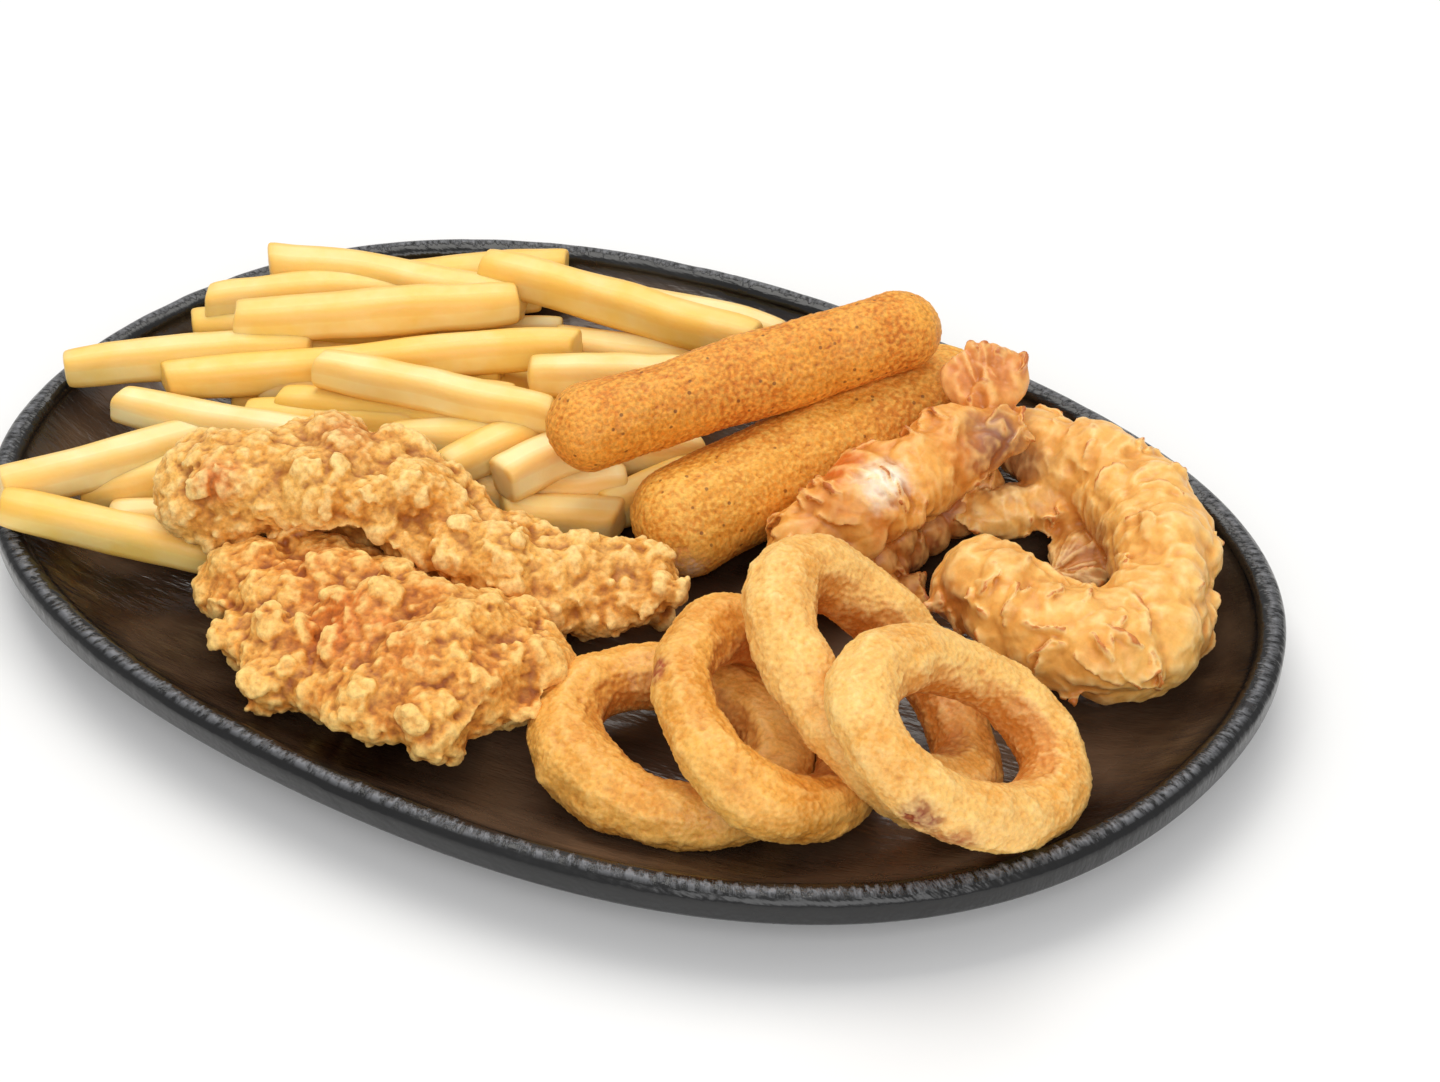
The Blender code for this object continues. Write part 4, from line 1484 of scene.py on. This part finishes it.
@dataclass(frozen=True)
class Studio:
    """A pale floor, soft light from above, and the photograph's viewpoint.

    Attributes:
        azimuth: The camera's bearing, in degrees, from the plate's front.
        elevation: Its height over the floor, in degrees.
        distance: From the camera to its target, in metres.
        target: What it looks at, in metres.
        lens: Its focal length.
        floor_reach: Half the floor's size, in metres.
    """

    azimuth: float = 23.8
    elevation: float = 40.0
    distance: float = 0.6707
    target: tuple[float, float, float] = (0.0141, 0.0254, 0.0)
    lens: float = 70.0
    floor_reach: float = 4.0

    def add_camera(self) -> None:
        """Stand the camera and make it the scene's."""
        data = bpy.data.cameras.new("viewpoint")
        data.lens = self.lens
        data.sensor_width = 36.0
        camera = new_piece("viewpoint", data)
        bearing = math.radians(self.azimuth)
        rise = math.radians(self.elevation)
        back = Vector((math.sin(bearing) * math.cos(rise), -math.cos(bearing) * math.cos(rise),
                       math.sin(rise)))
        camera.location = Vector(self.target) + back * self.distance
        camera.rotation_euler = (-back).to_track_quat("-Z", "Y").to_euler()
        bpy.context.scene.camera = camera

    def add_light(self, name: str, place: tuple[float, float, float], size: float, power: float,
                  colour: str) -> None:
        """Hang a square soft light that faces the platter.

        Args:
            name: The light's name.
            place: Where it hangs, in metres.
            size: Its side, in metres.
            power: Its power, in watts.
            colour: Its colour.
        """
        data = bpy.data.lights.new(name, "AREA")
        data.shape = "SQUARE"
        data.size = size
        data.energy = power
        data.color = linear(colour)[:3]
        lamp = new_piece(name, data)
        lamp.location = place
        lamp.rotation_euler = (-Vector(place)).to_track_quat("-Z", "Y").to_euler()

    def add_floor(self) -> None:
        """Lay the pale floor."""
        shape = bmesh.new()
        bmesh.ops.create_grid(shape, x_segments=1, y_segments=1, size=self.floor_reach)
        floor = new_piece("floor", mesh_from(shape, "floor"))
        # Matt white paper: a plain pale ground that takes a soft shadow
        material = bpy.data.materials.new("white_paper_sweep")
        material.use_nodes = True
        shader = material.node_tree.nodes["Principled BSDF"]
        shader.inputs["Base Color"].default_value = linear("#F4F4F4")
        shader.inputs["Roughness"].default_value = 0.9
        floor.data.materials.append(material)

    def build(self) -> None:
        """Set the whole studio up."""
        self.add_camera()
        self.add_floor()
        self.add_light("overhead_softbox", (-0.25, 0.35, 1.1), 0.9, 8.5, "#FFFDF8")
        self.add_light("front_softbox", (0.5, -0.9, 0.8), 0.9, 7.0, "#FFFFFF")
        world = bpy.data.worlds.new("studio")
        world.use_nodes = True
        sky = world.node_tree.nodes["Background"]
        sky.inputs["Color"].default_value = linear("#FFFFFF")
        sky.inputs["Strength"].default_value = 0.5
        bpy.context.scene.world = world
        # Colours show as the photograph's do, without a film curve over them
        bpy.context.scene.view_settings.view_transform = "Standard"


# Where the fries lie: the left end, the length, the heading and the tilt
SHOWN_FRIES = (
    Fry(-122, 50, 27, 66, 9, 0),
    Fry(-129, 31, 25, 62, 28, 0),
    Fry(-114, 20, 31, 70, 32, -1),
    Fry(-131, 27, 15, 60, 20, 0),
    Fry(-146, -7, 15, 60, 32, -1),
    Fry(-122, 0, 24, 101, 29, 2),
    Fry(-129, -10, 22, 62, 8, -1),
    Fry(-86, 12, 31, 60, 8, -2),
    Fry(-93, 7, 22, 60, 11, 0),
    Fry(-110, 11, 12, 40, 19, 0),
    Fry(-69, 65, 31, 75, 0, -1),
    Fry(-50, 77, 21, 56, 4, 0),
    Fry(-39, 32, 29, 42, 28, -3),
    Fry(-44, 57, 20, 40, 12, 0),
    Fry(-64, 5, 21, 48, 22, 0),
    Fry(-45, -2, 22, 46, 57, 0),
    Fry(-31, 0, 22, 32, 60, -1),
    Fry(-40, 5, 11, 36, 24, 0),
    Fry(-132, -54, 26, 66, 60, -10),
    Fry(-128, -58, 25, 60, 19, -13),
    Fry(-123, -37, 15, 58, 40, -1),
    Fry(-113, -40, 11, 54, 30, 0),
    Fry(-9, 11, 12, 33, 58, 0),
    Fry(-25, 20, 15, 34, 35, 0),
    Fry(-30, -1, 12, 28, 20, 0),
)
UNDER_ROWS = tuple([(row, 11, 0) for row in range(-2, 4)] + [(row, 20, 6) for row in range(-1, 4)])

# Drops of batter along the left prawn's hollow: x, y, z and radius
LEFT_DROPS = (
    (57.0, 17.0, 15.0, 5.0),
    (56.0, 9.0, 12.0, 4.5),
    (61.0, 13.0, 10.5, 4.0),
    (65.5, 16.0, 10.0, 3.6),
    (60.0, 20.0, 12.0, 4.2),
    (69.0, 13.0, 9.0, 3.0),
    (66.5, 10.5, 9.0, 3.4),
    (54.0, 6.0, 10.0, 3.6),
    (60.0, 27.0, 12.0, 6.0),
    (63.0, 34.0, 13.0, 6.0),
    (67.0, 41.0, 15.0, 6.5),
    (70.0, 49.0, 17.0, 6.5),
    (59.0, 24.0, 17.0, 5.0),
)

# Humps of crust on the rear strip's left half
REAR_HUMPS = (
    (-62.0, -20.0, 37.0, 8.5),
    (-57.0, -24.0, 38.0, 8.0),
)


def main() -> None:
    """Build every piece of the platter, and the studio round it."""
    logging.basicConfig(level=logging.INFO, format="%(name)s: %(message)s")
    Studio().build()
    StonewarePlate().build(ReactiveGlaze().material())
    FryHeap(SHOWN_FRIES, UNDER_ROWS).build(FriedPotato().material())
    BreadedStick("breaded_stick_lower", "pale_crumb", PALE_CRUMB.material(), 3, sink=-0.9).build()
    BreadedStick("breaded_stick_upper", "fine_crumb", FINE_CRUMB.material(), 7).build()
    golden, browned = RING_CRUMB.material(), BROWNED_RING.material()
    rings = (("a", browned, -0.9), ("b", browned, -0.1), ("c", golden, -0.9), ("d", golden, -0.3))
    for seed, (letter, crumb, sink) in enumerate(rings, start=11):
        OnionRing("onion_ring_" + letter, "ring_crumb", crumb, seed, sink=sink).build()
    ChickenStrip("chicken_strip_front", "rough_batter", ROUGH_BATTER.material(), 21).build()
    ChickenStrip("chicken_strip_rear", "rough_batter", PALE_BATTER.material(), 22, drops=REAR_HUMPS).build()
    BatteredPrawn("prawn_right", "flaky_batter", FLAKY_BATTER.material(), 31).build()
    BatteredPrawn("prawn_left", "flaky_batter", BROWNED_BATTER.material(), 32,
                  curl=Curl((78.0, 12.0, 20.0), 0.0, 30.0), crests=50, drops=LEFT_DROPS,
                  fan=TailFan((71, 55, 29), (60, 70, 46), 24)).build()


if __name__ == "__main__":
    main()
